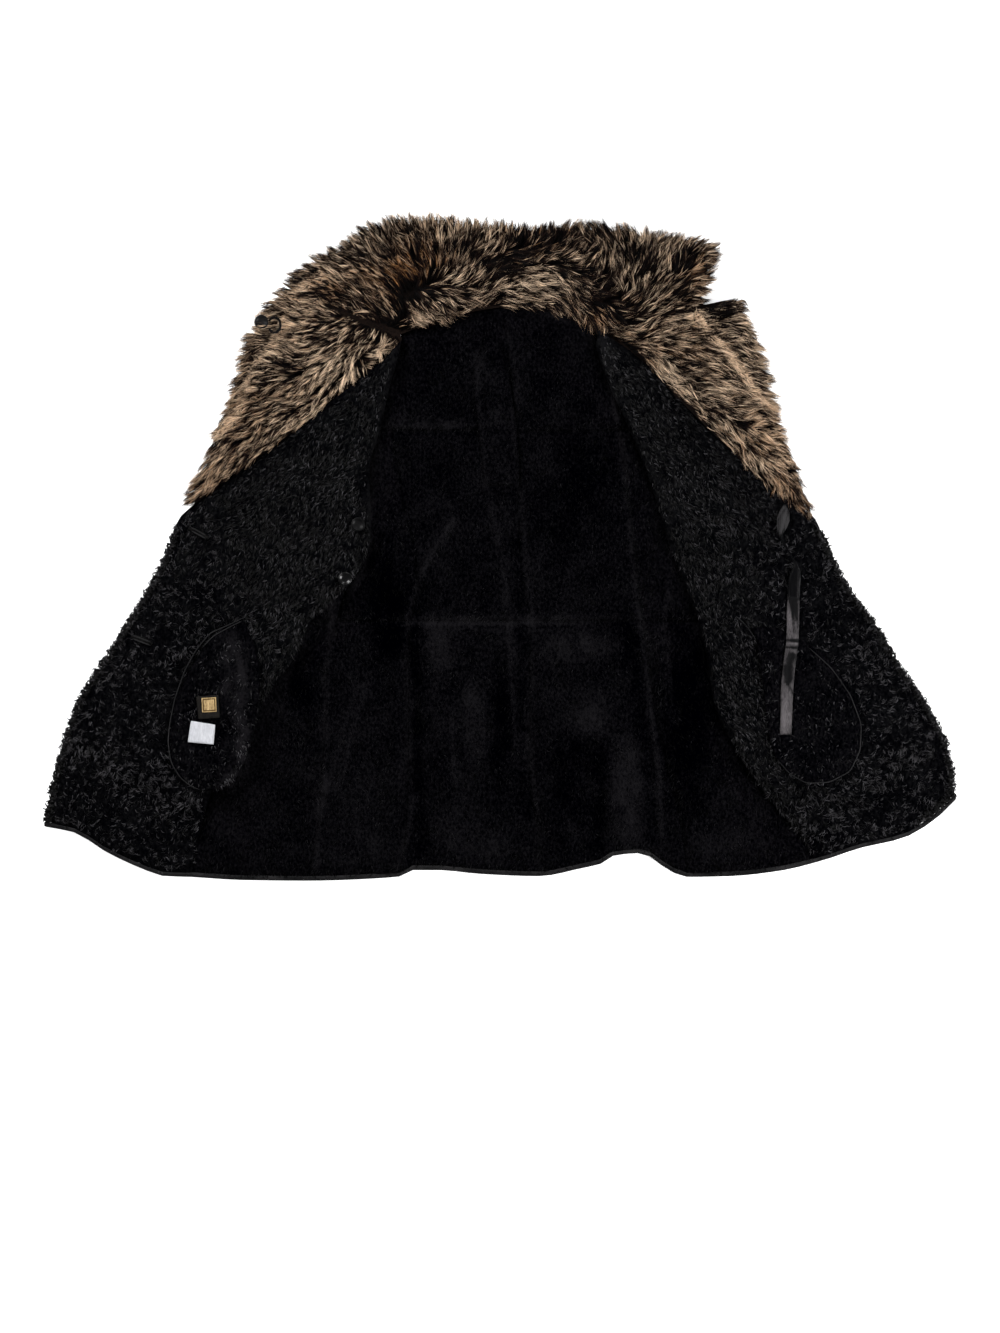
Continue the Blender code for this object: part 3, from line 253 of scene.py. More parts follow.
# On the strap: the seam between leather and ribbon, stitching and a worn slot.
RIBBON_SEAM = 597
WELT_APART = 1.7     # from the middle of a buttonhole to each of its welts
STRAP_STAINS = [
    (787, 553, 12, 13, -0.75), (790, 582, 5, 12, -0.55), (786, 520, 5, 10, 0.35),
    (790, 620, 8, 14, 0.16), (781, 715, 7, 20, 0.20), (794, 610, 3, 12, -0.3),
]
# On the leather, the light lines along its edges and the diamond are painted highlights; the dark
# slot and the darker hollows of the ribbon's creases are painted shade.
STRAP_CREASES = [
    ([(782, 599), (802, 599)], 1.3, -0.5, -0.5), ([(778, 640), (800, 641)], 1.2, -0.7, -0.8),
    ([(778, 643), (800, 644)], 0.8, 0.3, 0.2), ([(778, 647), (800, 648)], 1.0, -0.5, -0.6),
    ([(790, 657), (787, 668), (787, 680)], 3.2, -0.9, -0.9),
    ([(787, 684), (795, 700)], 1.2, -0.4, -0.4),
    ([(790, 602), (793, 632)], 1.2, -0.3, -0.5), ([(795, 604), (797, 634)], 1.0, -0.3, -0.4),
    ([(779, 700), (777, 736)], 0.9, -0.3, -0.4), ([(776, 735), (794, 735)], 1.0, -0.4, -0.5),
    ([(788, 575), (789, 596)], 1.0, 0.4, 0.35), ([(800, 573), (801, 598)], 1.0, 0.4, 0.30),
    ([(784, 509), (787, 516), (784, 526), (781, 536)], 0.7, 0.0, -0.5),
    ([(788, 512), (790, 518)], 1.2, 0.0, -0.6), ([(777, 522), (783, 510)], 0.5, 0.0, -0.4),
    ([(784, 545), (797, 572)], 6.0, 0.0, -0.55), ([(790, 575), (791, 594)], 3.4, 0.0, -0.6),
    ([(789, 547), (799, 572)], 0.7, 0.3, 0.7),
    ([(776, 519), (784, 507)], 1.0, 0.4, 0.5), ([(786, 511), (780, 534)], 1.0, 0.5, 0.4),
]
# The flat cut of each sheet of skin or cloth: width and length in metres, area in square metres
# where it isn't a rectangle, and what it lies on if that isn't the floor.
CUTS = {
    "back_yoke_left": (0.164, 0.185, 0.0234),
    "back_yoke_right": (0.164, 0.169, 0.0201),
    "back_middle_left": (0.165, 0.264, 0.0379),
    "back_middle_right": (0.151, 0.268, 0.0367),
    "back_skirt_left": (0.185, 0.332, 0.0537),
    "back_skirt_right": (0.195, 0.352, 0.0550),
    "centre_strip": (0.048, 0.196, 0.0081, "back_yoke_left", "back_middle_left"),
    "side_upper_left": (0.097, 0.261, 0.0160),
    "side_upper_right": (0.085, 0.277, 0.0138),
    "side_skirt_left": (0.125, 0.348, 0.0374),
    "side_skirt_right": (0.166, 0.355, 0.0370),
    "side_front_left": (0.152, 0.407, 0.0388),
    "front_left": (0.244, 0.784, 0.1338, "sleeve_left_top"),
    "front_right": (0.249, 0.778, 0.1292, "sleeve_right_top"),
    "pocket_bag_left": (0.110, 0.228, 0.0190, "front_left"),
    "pocket_bag_right": (0.122, 0.218, 0.0200, "front_right"),
    "collar": (0.151, 0.571, 0.0621, "under_collar"),
    "lapel_left": (0.159, 0.374, 0.0328, "under_lapel_left"),
    "lapel_right": (0.160, 0.376, 0.0308, "under_lapel_right"),
    "under_collar": (0.148, 0.566, 0.0594),
    "under_lapel_left": (0.155, 0.367, 0.0305, "front_left"),
    "under_lapel_right": (0.156, 0.370, 0.0277, "front_right"),
    "sleeve_left_top": (0.135, 0.604, 0.0478, "sleeve_left_under"),
    "sleeve_left_under": (0.135, 0.604, 0.0478),
    "sleeve_right_top": (0.134, 0.618, 0.0414, "sleeve_right_under"),
    "sleeve_right_under": (0.134, 0.618, 0.0414),
    "hem_back_left": (0.014, 0.187, None),
    "hem_back_right": (0.014, 0.199, None),
    "hem_side_left": (0.014, 0.124, None),
    "hem_side_right": (0.014, 0.170, None),
    "hem_side_front_left": (0.014, 0.152, None),
    "hem_front_left": (0.014, 0.208, None),
    "hem_front_right": (0.014, 0.210, None),
    "buttonhole_upper": (0.010, 0.029, None, "front_left"),
    "buttonhole_lower": (0.010, 0.029, None, "front_left"),
    "collar_loop": (0.017, 0.022, 0.0002, "lapel_left"),
    "strap": (0.017, 0.310, None, "pocket_bag_right", "front_right"),
    "label_woven": (0.028, 0.029, None, "pocket_bag_left"),
    "label_square": (0.018, 0.018, None, "label_woven"),
    "label_care": (0.027, 0.033, None, "pocket_bag_left"),
}

# ---------------------------------------------------------------- finishes
FAINT_GLOSS = 0.05


class Reading:
    """One value in a finish, reckoned with by the usual signs."""

    def __init__(self, finish, socket):
        self.finish = finish
        self.socket = socket

    def maths(self, operation, *values):
        settings = {"operation": operation}
        return self.finish.node("ShaderNodeMath", settings, dict(enumerate(values)))

    def __add__(self, other):
        return self.maths("ADD", self, other)

    def __sub__(self, other):
        return self.maths("SUBTRACT", self, other)

    def __rsub__(self, other):
        return self.maths("SUBTRACT", other, self)

    def __mul__(self, other):
        return self.maths("MULTIPLY", self, other)

    __radd__ = __add__
    __rmul__ = __mul__

    def between(self, low, high):
        """0 below low, 1 above high and smooth between them."""
        settings = {"interpolation_type": "SMOOTHSTEP"}
        values = {"Value": self, "From Min": low, "From Max": high}
        return self.finish.node("ShaderNodeMapRange", settings, values)


class Finish:
    """A material with a Principled shader, and the nodes that vary it."""

    def __init__(self, name, **constants):
        self.material = bpy.data.materials.new(name)
        self.material.use_nodes = True
        self.tree = self.material.node_tree
        self.shader = self.tree.nodes["Principled BSDF"]
        for word, value in constants.items():
            self.shader.inputs[word.replace("_", " ")].default_value = value

    def join(self, socket, value):
        if isinstance(value, Reading):
            self.tree.links.new(value.socket, socket)
        else:
            socket.default_value = value

    def node(self, kind, settings=None, values=None, output=0):
        made = self.tree.nodes.new(kind)
        for word, value in (settings or {}).items():
            setattr(made, word, value)
        for word, value in (values or {}).items():
            self.join(made.inputs[word], value)
        return Reading(self, made.outputs[output])

    def place(self, stretch=(1.0, 1.0, 1.0)):
        """Where a point lies on the object, in metres, squeezed by stretch."""
        raw = self.node("ShaderNodeTexCoord", output="Object")
        settings = {"operation": "MULTIPLY"}
        return self.node("ShaderNodeVectorMath", settings, {0: raw, 1: stretch})

    def noise(self, scale, detail, roughness=0.5, stretch=(1.0, 1.0, 1.0)):
        values = {"Scale": scale, "Detail": detail, "Roughness": roughness}
        values["Vector"] = self.place(stretch)
        return self.node("ShaderNodeTexNoise", None, values)

    def cells(self, scale):
        values = {"Scale": scale, "Vector": self.place()}
        return self.node("ShaderNodeTexVoronoi", {"feature": "F1"}, values)

    def attribute(self, name):
        return self.node("ShaderNodeAttribute", {"attribute_name": name}, output="Fac")

    def mix(self, share, first, second):
        """A colour between two colours."""
        values = {0: share, 6: first, 7: second}
        return self.node("ShaderNodeMix", {"data_type": "RGBA"}, values, 2)

    def paint(self, **varied):
        for word, value in varied.items():
            self.join(self.shader.inputs[word.replace("_", " ")], value)

    def emboss(self, height, depth, strength):
        """Fine relief, as deep as depth metres."""
        values = {"Height": height, "Distance": depth, "Strength": strength}
        self.paint(Normal=self.node("ShaderNodeBump", None, values))


def rgb(red, green, blue):
    """A colour from its three parts as a screen shows them, 0 to 255."""
    parts = [part / 255 for part in (red, green, blue)]
    linear = [p / 12.92 if p <= 0.04045 else ((p + 0.055) / 1.055) ** 2.4 for p in parts]
    return (*linear, 1.0)


def fleece_finish(name, dark, light, curl, gloss):
    """Clipped or curly black wool; curl is how far apart its tufts stand, in metres."""
    finish = Finish(name, Specular_IOR_Level=gloss)
    shade = finish.attribute("shade")
    drift = finish.noise(28.0, 3.0)
    tufts = finish.noise(1 / curl, 3.0, 0.6, (1.6, 1.0, 1.0))
    hairs = finish.noise(3.2 / curl, 2.0, 0.6, (2.2, 0.8, 1.0))
    mottle = tufts * 1.6 + hairs * 0.9 + drift * 0.6
    # The shade reading brings the creases' and blotches' painted highlight and painted shade into
    # the colour.
    shine = (mottle + shade * 1.6).between(2.05, 3.15)
    finish.paint(Base_Color=finish.mix(shine, dark, light), Roughness=0.92 - shine * 0.3)
    finish.emboss(tufts * 0.7 + hairs * 0.3, curl * 0.35, 0.9)
    return finish.material


def leather_finish(name, dark, light, grain=0.0011):
    """Smooth nappa: fine pebbled grain, a little wear and a soft shine."""
    finish = Finish(name, Specular_IOR_Level=FAINT_GLOSS)
    pebbles = finish.cells(1 / grain)
    patches = finish.noise(22.0, 4.0, 0.6)
    creases = finish.noise(160.0, 3.0, 0.6, (1.0, 2.0, 1.0))
    tone = (patches * 0.7 + creases * 0.3).between(0.35, 0.7)
    finish.paint(Base_Color=finish.mix(tone, dark, light), Roughness=0.38 + patches * 0.25)
    finish.emboss(pebbles * 0.6 + creases * 0.8, 0.00035, 0.7)
    return finish.material


def woven_finish(name, dark, light, threads, shine, thread=0.0005):
    """Ribbon or label cloth of two crossing sets of threads, worn at random, and darker where its
    shade reading is low: stains, a printed border and painted shade; lighter where painted
    highlight raises it.
    """
    finish = Finish(name, Specular_IOR_Level=FAINT_GLOSS)
    shade = finish.attribute("shade")
    along = finish.place((1.0, 0.0, 0.0))
    across = finish.place((0.0, 1.0, 0.0))
    settings = {"wave_type": "BANDS", "bands_direction": "DIAGONAL"}
    scale = {"Scale": 0.3 / thread, "Distortion": 0.4, "Detail": 1.0}
    warp = finish.node("ShaderNodeTexWave", settings, {"Vector": along, **scale})
    weft = finish.node("ShaderNodeTexWave", settings, {"Vector": across, **scale})
    rubbed = finish.noise(90.0, 3.0, 0.6, (2.0, 0.6, 1.0))
    flecks = finish.noise(420.0, 2.0, 0.6, (2.4, 0.5, 1.0))
    weave = warp * (1 - threads) + weft * threads
    worn_by = weave * 0.3 + rubbed * 0.45 + flecks * 0.7 - 0.38
    tone = (worn_by + (shade - 0.5) * 1.6).between(0.0, 0.85)
    finish.paint(Base_Color=finish.mix(tone, dark, light), Roughness=shine + rubbed * 0.2)
    finish.emboss(weave, 0.00012, 0.6)
    return finish.material


def button_finish(name, dark, light, gloss, coat):
    """Polished horn with faint streaks and fine scratches."""
    finish = Finish(name, Specular_IOR_Level=0.1, Coat_Roughness=0.14, Coat_IOR=1.5)
    streaks = finish.noise(180.0, 4.0, 0.6, (1.0, 3.0, 1.0))
    scratches = finish.noise(1500.0, 2.0, 0.5, (4.0, 1.0, 1.0))
    tone = streaks.between(0.4, 0.68)
    finish.paint(Base_Color=finish.mix(tone, dark, light), Roughness=gloss + scratches * 0.12)
    finish.paint(Coat_Weight=coat + streaks * 0.1)
    finish.emboss(scratches, 0.00006, 0.4)
    return finish.material


def hair_finish(name, root, middle, ash, gold, gloss, rough, start, faint=0.25):
    """Hairs that go from a dark root to a light tip, by the readings kept on each hair."""
    finish = Finish(name, Specular_IOR_Level=gloss)
    along = finish.attribute("along")
    tone = finish.attribute("tone")
    tip = finish.mix(finish.attribute("warmth"), ash, gold)
    low = finish.mix(along.between(0.1, 0.8) * tone.between(0.0, 0.7), root, middle)
    reach = (along + tone * 0.5 - 0.25).between(start, start + 0.55)
    bright = tone.between(faint, 0.95)
    finish.paint(Base_Color=finish.mix(reach * bright, low, tip))
    finish.paint(Roughness=rough + 0.2 * (1 - along))
    return finish.material


def skin_finish(name):
    """Dark brown underfur close to the hide."""
    finish = Finish(name, Specular_IOR_Level=FAINT_GLOSS)
    under = finish.noise(420.0, 4.0, 0.6, (1.0, 1.6, 1.0))
    patches = finish.noise(30.0, 3.0)
    tone = (under * 0.6 + patches * 0.5).between(0.35, 0.8)
    finish.paint(Base_Color=finish.mix(tone, rgb(3, 2, 2), rgb(24, 16, 12)))
    finish.paint(Roughness=0.8 + under * 0.15)
    finish.emboss(under, 0.002, 0.8)
    return finish.material


CLIPPED = fleece_finish("clipped_fleece", rgb(0, 0, 1), rgb(20, 19, 21), 0.0045, 0.0)
CURLY = fleece_finish("curly_fleece", rgb(1, 1, 2), rgb(18, 18, 19), 0.0055, 0.0)
LEATHER = leather_finish("black_leather", rgb(5, 5, 6), rgb(16, 15, 16))
HEM = leather_finish("hem_leather", rgb(12, 12, 13), rgb(36, 35, 36))
# The buttonhole between its welts is coloured near black as painted shade in the opening.
SLIT = leather_finish("buttonhole_slit", rgb(0, 0, 0), rgb(3, 3, 3))
# Piping and welts are a paler leather than the rest.
PIPING = leather_finish("pale_leather_edge", rgb(18, 18, 19), rgb(38, 37, 38), 0.0006)
HIDE = leather_finish("black_suede_side", rgb(9, 9, 10), rgb(20, 19, 20), 0.0008)
SATIN = woven_finish("black_satin", rgb(8, 8, 9), rgb(88, 84, 86), 0.25, 0.4)
STRAP_LEATHER = woven_finish("strap_leather", rgb(1, 1, 2), rgb(46, 45, 46), 0.25, 0.4, 0.0012)
LABEL_CLOTH = woven_finish("black_weave", rgb(8, 8, 8), rgb(34, 31, 28), 0.5, 0.6)
GOLD_CLOTH = woven_finish("gold_weave", rgb(70, 52, 28), rgb(222, 192, 140), 0.6, 0.42)
WHITE_CLOTH = woven_finish("white_satin", rgb(158, 159, 164), rgb(208, 209, 213), 0.3, 0.45)
HORN_BLACK = button_finish("black_horn", rgb(1, 1, 2), rgb(6, 6, 6), 0.3, 0.3)
HORN_MATT = button_finish("matt_horn", rgb(0, 0, 1), rgb(4, 4, 4), 0.5, 0.0)
HORN_DARK = button_finish("dark_horn", rgb(5, 5, 5), rgb(22, 19, 18), 0.5, 0.0)
SKIN = skin_finish("fur_underwool")
LONG_FUR = hair_finish("long_fur", rgb(2, 1, 1), rgb(44, 26, 19), rgb(251, 221, 188),
                       rgb(170, 121, 76), 0.05, 0.5, 0.42, 0.34)
# The black curls' pale tips are painted glints, and their dark roots painted shade between them.
CURL_WOOL = hair_finish("curled_wool", rgb(1, 1, 1), rgb(13, 13, 14), rgb(58, 57, 60),
                        rgb(50, 48, 50), 0.07, 0.4, 0.0)
PLUSH_WOOL = hair_finish("plush_wool", rgb(0, 0, 0), rgb(2, 2, 3), rgb(26, 25, 27),
                         rgb(21, 20, 22), 0.02, 0.5, 0.1)

# ---------------------------------------------------------------- shapes
NOISE_CELLS = 128


def soft_noise(plan, size, seed):
    """Smooth hills and hollows from -1 to 1, about size metres apart."""
    table = np.random.default_rng(seed).uniform(-1, 1, (NOISE_CELLS, NOISE_CELLS))
    u, v = plan[:, 0] / size, plan[:, 1] / size
    i, j = np.floor(u).astype(int), np.floor(v).astype(int)
    s, t = u - i, v - j
    s, t = s * s * (3 - 2 * s), t * t * (3 - 2 * t)
    i, j, next_i, next_j = (k % NOISE_CELLS for k in (i, j, i + 1, j + 1))
    low = table[i, j] * (1 - s) + table[next_i, j] * s
    high = table[i, next_j] * (1 - s) + table[next_i, next_j] * s
    return low * (1 - t) + high * t


def line_distance(points, line):
    """How far each point of the plan is from a line of points."""
    best = np.full(len(points), np.inf)
    for start, end in zip(line[:-1], line[1:]):
        run = end - start
        share = ((points - start) @ run / max(run @ run, 1e-12)).clip(0, 1)
        best = np.minimum(best, np.hypot(*(points - start - share[:, None] * run).T))
    return best


def inside(points, loop):
    """Which points of the plan lie inside a closed outline."""
    within = np.zeros(len(points), bool)
    x, y = points[:, 0], points[:, 1]
    for (x0, y0), (x1, y1) in zip(loop, np.roll(loop, -1, 0)):
        if y0 != y1:
            crossed = (y0 > y) != (y1 > y)
            within ^= crossed & (x < (x1 - x0) * (y - y0) / (y1 - y0) + x0)
    return within


def node_shape(name):
    """The points and triangles of a CAD node, with shared points joined."""
    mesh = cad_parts[name].data
    mesh.calc_loop_triangles()
    points = np.array([v.co for v in mesh.vertices], float)
    corners = np.array([t.vertices for t in mesh.loop_triangles])
    places, which = np.unique(np.round(points, 6), axis=0, return_inverse=True)
    triangles = which.reshape(-1)[corners]
    sound = [len(set(t)) == 3 for t in triangles.tolist()]
    return places, triangles[sound]


def plan_outline(points, triangles):
    """The rim of the faces that look up, counter-clockwise, as the largest of their loops."""
    a, b, c = (points[triangles[:, k]] for k in range(3))
    normal = np.cross(b - a, c - a)
    up = normal[:, 2] > 0.05 * np.linalg.norm(normal, axis=1)
    edges = {}
    for t in triangles[up].tolist():
        for start, end in ((t[0], t[1]), (t[1], t[2]), (t[2], t[0])):
            if not edges.pop((end, start), None):
                edges[start, end] = True
    after = {}
    for start, end in edges:
        after.setdefault(start, []).append(end)
    best, largest = None, -1
    while after:
        first = next(iter(after))
        loop, here = [], first
        while here in after:
            loop.append(here)
            ends = after[here]
            following = ends.pop()
            if not ends:
                del after[here]
            here = following
        x, y = points[loop, 0], points[loop, 1]
        area = 0.5 * (x @ np.roll(y, -1) - y @ np.roll(x, -1))
        if area > largest:
            best, largest = loop, area
    return points[best]


def finer(loop, spacing):
    """A closed line with its long stretches cut to about spacing, and near points joined."""
    kept = [loop[0]]
    for point in loop[1:]:
        if np.hypot(*(point - kept[-1])[:2]) > spacing * 0.2:
            kept.append(point)
    if np.hypot(*(kept[0] - kept[-1])[:2]) < spacing * 0.2:
        kept.pop()
    fine = []
    for start, end in zip(kept, kept[1:] + kept[:1]):
        count = max(1, round(np.hypot(*(end - start)[:2]) / spacing))
        fine += [start + (end - start) * k / count for k in range(count)]
    return np.array(fine)


def solid_tree(points, triangles):
    return BVHTree.FromPolygons([Vector(p) for p in points], triangles.tolist())


def closed_line(rim):
    """The plan of a closed rim, with its first point again at its end."""
    return np.vstack([rim, rim[:1]])[:, :2]


class Form:
    """A CAD node's shape: its tree for casting lines on, and its rim as seen from above."""

    def __init__(self, node):
        points, triangles = node_shape(node)
        self.tree = solid_tree(points, triangles)
        self.rim = plan_outline(points, triangles)
        self.loop = self.rim[:, :2]

    def edge_gap(self, plan):
        return line_distance(plan, closed_line(self.loop))

    def over(self, plan):
        return inside(plan, self.loop)

    def top_and_base(self, plan):
        return cast(self.tree, plan, -1), cast(self.tree, plan, 1)


form_of = functools.cache(Form)


def outwards(rim):
    """The way out of a closed rim at each of its points, as unit steps on the plan."""
    ahead = np.roll(rim, -1, 0)[:, :2] - np.roll(rim, 1, 0)[:, :2]
    ahead /= np.linalg.norm(ahead, axis=1).clip(1e-9)[:, None]
    return np.stack([ahead[:, 1], -ahead[:, 0]], 1)


def wider(rim, by):
    """A rim moved outwards in the plan, so that sewn neighbours meet."""
    moved = rim.copy()
    moved[:, :2] += np.broadcast_to(by, len(rim))[:, None] * outwards(rim)
    return moved


def untangled(rim):
    """Which points of a closed rim stay when the small loops where it crosses itself go."""
    stay = np.arange(len(rim))
    while True:
        start = rim[stay, :2]
        ahead = np.roll(start, -1, 0) - start
        apart = start[None] - start[:, None]
        with np.errstate(divide="ignore", invalid="ignore"):
            level = ahead[:, None, 0] * ahead[None, :, 1] - ahead[:, None, 1] * ahead[None, :, 0]
            shares = [(apart[..., 0] * run[..., 1] - apart[..., 1] * run[..., 0]) / level
                      for run in (ahead[None], ahead[:, None])]
        met = np.all([(share > -1e-4) & (share < 1.0001) for share in shares], axis=0)
        count = len(stay)
        between = np.arange(count)[None] - np.arange(count)[:, None]
        met &= (between > 1) & (between < count - 1)
        pairs = np.argwhere(met)
        if not len(pairs):
            return stay
        length = pairs[:, 1] - pairs[:, 0]
        pick = np.minimum(length, count - length).argmin()
        low, high = pairs[pick]
        within = (np.arange(count) > low) & (np.arange(count) <= high)
        stay = stay[~within] if length[pick] <= count / 2 else stay[within]


def honeycomb(low, high, spacing):
    """Rows of points spacing apart, each row half a space beside the one before."""
    x, y = np.arange(low[0], high[0], spacing), np.arange(low[1], high[1], spacing * 0.87)
    grid_x, grid_y = np.meshgrid(x, y)
    grid_x[1::2] += spacing / 2
    return grid_x, grid_y


def fill_in(rim, spacing, seed):
    """Triangles between the points of a closed rim, with points spacing apart inside it."""
    grid_x, grid_y = honeycomb(rim.min(0), rim.max(0), spacing)
    jitter = np.random.default_rng(seed).uniform(-0.16, 0.16, (2, *grid_x.shape)) * spacing
    grid = np.stack([(grid_x + jitter[0]).ravel(), (grid_y + jitter[1]).ravel()], 1)
    grid = grid[inside(grid, rim)]
    grid = grid[line_distance(grid, closed_line(rim)) > spacing * 0.55]
    plan = np.vstack([rim, grid])
    made = delaunay_2d_cdt([Vector(p) for p in plan], [], [list(range(len(rim)))], 1, 1e-7)
    return np.array([tuple(v) for v in made[0]]), np.array(made[2])


def cast(tree, plan, direction):
    """Heights where straight lines up or down through a shape first meet it."""
    start = 1.0 if direction < 0 else -1.0
    ray = Vector((0, 0, direction))
    heights = np.full(len(plan), np.nan)
    for k, (x, y) in enumerate(plan):
        hit = tree.ray_cast(Vector((x, y, start)), ray)[0]
        if hit is not None:
            heights[k] = hit.z
    return heights


def settle(values, triangles, fixed, times):
    """Heights drawn towards their neighbours' mean, times over."""
    pairs = np.vstack([triangles[:, [0, 1]], triangles[:, [1, 2]], triangles[:, [2, 0]]])
    pairs = np.vstack([pairs, pairs[:, ::-1]])
    count = np.bincount(pairs[:, 0], minlength=len(values)).clip(1)
    for _ in range(times):
        mean = np.bincount(pairs[:, 0], values[pairs[:, 1]], len(values)) / count
        values = np.where(fixed, values, 0.5 * values + 0.5 * mean)
    return values


def keep_reading(mesh, word, values):
    """Write one value for each point of a mesh, for its finish to read."""
    kept = mesh.attributes.new(word, "FLOAT", "POINT")
    kept.data.foreach_set("value", values.astype(np.float32))


def placed(name, data):
    """A new object in the scene."""
    made = bpy.data.objects.new(name, data)
    bpy.context.scene.collection.objects.link(made)
    return made


def make_object(name, points, triangles, finishes, which=None):
    """A mesh object from arrays, riding on the coat."""
    mesh = bpy.data.meshes.new(name)
    mesh.vertices.add(len(points))
    mesh.vertices.foreach_set("co", np.asarray(points, np.float32).ravel())
    mesh.loops.add(triangles.size)
    mesh.loops.foreach_set("vertex_index", triangles.astype(np.int32).ravel())
    mesh.polygons.add(len(triangles))
    mesh.polygons.foreach_set("loop_start", np.arange(0, triangles.size, 3, dtype=np.int32))
    if which is not None:
        mesh.polygons.foreach_set("material_index", which.astype(np.int32))
    mesh.polygons.foreach_set("use_smooth", np.full(len(triangles), True))
    mesh.update(calc_edges=True)
    for finish in finishes:
        mesh.materials.append(finish)
    made = placed(name, mesh)
    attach(made, "root")
    return made


def tree_of_nodes(*starts):
    """The CAD nodes whose names start so, as one shape for casting lines on."""
    points, triangles, count = [], [], 0
    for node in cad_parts:
        if node.startswith(starts):
            more, faces = node_shape(node)
            points.append(more)
            triangles.append(faces + count)
            count += len(more)
    return solid_tree(np.vstack(points), np.vstack(triangles))


def tree_of(made):
    """A made object's surface, for casting lines on."""
    mesh = made.data
    return solid_tree([v.co for v in mesh.vertices], np.array([p.vertices for p in mesh.polygons]))


def marks_at(plan, creases, blotches=()):
    """Height in metres and change of tone that creases and blotches give points of the plan; the
    tone is partly the cloth's own and partly painted highlight and painted shade.
    """
    height = np.zeros(len(plan))
    tone = np.zeros(len(plan))
    wander = 1.25 + 0.5 * soft_noise(plan, 0.012, 7)
    # Creases mostly paint highlight on ridges and shade in hollows; a few on the strap give its
    # leather's own dark.
    for line, half_width, rise, change in creases:
        gap = line_distance(plan, spots(line))
        share = np.exp(-((gap / (half_width * PLAN_STEP * wander)) ** 2))
        height += rise * 0.001 * share
        tone += change * share if change > 0 else change * share * 0.7
    for across, down, wide, tall, change in blotches:
        off = (plan - spot(across, down)) / PLAN_STEP / (wide, tall)
        tone += 1.6 * change * np.exp(-(off ** 2).sum(1))
    tone *= 0.62 + 0.4 * soft_noise(plan * (1, 0.6), 0.009, 8)
    return height, tone


EDGE_DROP = 0.003        # how far a drawn-in rim lies below its node's top
SINK_RUN = 0.006         # from the rim to where a panel has sunk in full
PLAIN_SPACING = 0.014    # between the points of an underside
SEAM_REACH = 0.0035      # how far beside a rim the shape it is sewn to is felt
SEAM_DEPTH = 0.004       # how deep the rim goes into that shape
LOWEST_SEAM = 0.0004     # above the floor
THINNEST = 0.0006        # a panel's height at its rim


def lay_panel(node, name, slot, finishes, spacing, relief=(), sink=0.0, settle_times=3,
              creases=(), blotches=(), edge=None, border=None, beside=None):
    """A thin closed shell on a CAD node's form: fine above, plain below, with its own relief.
    edge gives how far each point of the rim moves out; border is a line beside the rim as
    its distance, half width and change of tone; beside is the shape it is sewn down to."""
    form = form_of(node)
    rim = finer(form.rim, spacing)
    out_by = np.full(len(rim), SEAM_MEET) if edge is None else edge(rim)
    inner_rim = wider(rim, -SEAM_MEET + np.minimum(out_by, 0))
    rim = wider(rim, out_by)
    stay = untangled(rim)
    rim, inner_rim, out_by = rim[stay], inner_rim[stay], out_by[stay]
    count = len(rim)
    seed = sum(map(ord, node))
    plan, top = fill_in(rim[:, :2], spacing, seed)
    upper = cast(form.tree, plan, -1)
    lowered = (out_by < 0) & ~np.isnan(upper[:count])
    upper[:count] = np.where(lowered, upper[:count] - EDGE_DROP, rim[:, 2])
    for k in np.flatnonzero(np.isnan(upper)):
        upper[k] = form.tree.find_nearest(Vector((*plan[k], 1.0)))[0].z
    at_rim = np.arange(len(plan)) < count
    gap = line_distance(plan, closed_line(rim))
    upper = settle(upper, top, at_rim, settle_times)
    fade = (gap / (2 * spacing)).clip(0, 1)
    for size, height, sort in relief:
        upper += soft_noise(plan, size, seed + sort) * height * fade
    # Creases and blotches give the shell's shade reading its painted highlight and painted shade.
    rise, tone = marks_at(plan, creases, blotches)
    upper += rise * fade
    upper -= sink * (gap / SINK_RUN).clip(0, 1)
    if border:
        tone += border[2] * np.exp(-(((gap - border[0]) / border[1]) ** 2))
    plain, under = fill_in(rim[:, :2], max(spacing, PLAIN_SPACING), seed + 1)
    lower = cast(form.tree, plain, 1)
    lower[:count] = cast(form.tree, inner_rim[:, :2], 1)
    known = ~np.isnan(lower)
    for k in np.flatnonzero(~known):
        near = np.hypot(*(plain[known] - plain[k]).T).argmin()
        lower[k] = lower[known][near]
    if beside:
        sewn = cast(beside, rim[:, :2] + outwards(rim) * SEAM_REACH, -1) - SEAM_DEPTH
        lower[:count] = np.fmin(lower[:count], sewn.clip(LOWEST_SEAM, None))
    upper[:count] = np.maximum(upper[:count], lower[:count] + THINNEST)
    first = len(plan)
    ring = np.arange(count)
    after = np.roll(ring, -1)
    wall = np.vstack([
        np.stack([ring, first + ring, after], 1),
        np.stack([after, first + ring, first + after], 1),
    ])
    faces = np.vstack([top, under[:, ::-1] + first, wall])
    which = np.r_[np.zeros(len(top)), np.ones(len(under)), np.zeros(len(wall))]
    places = np.vstack([np.c_[plan, upper], np.c_[plain, lower]])
    made = make_object(name, places, faces, finishes, which)
    keep_reading(made.data, "shade", np.r_[(0.5 + tone).clip(0, 1), np.full(len(plain), 0.5)])
    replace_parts(made, node)
    return made


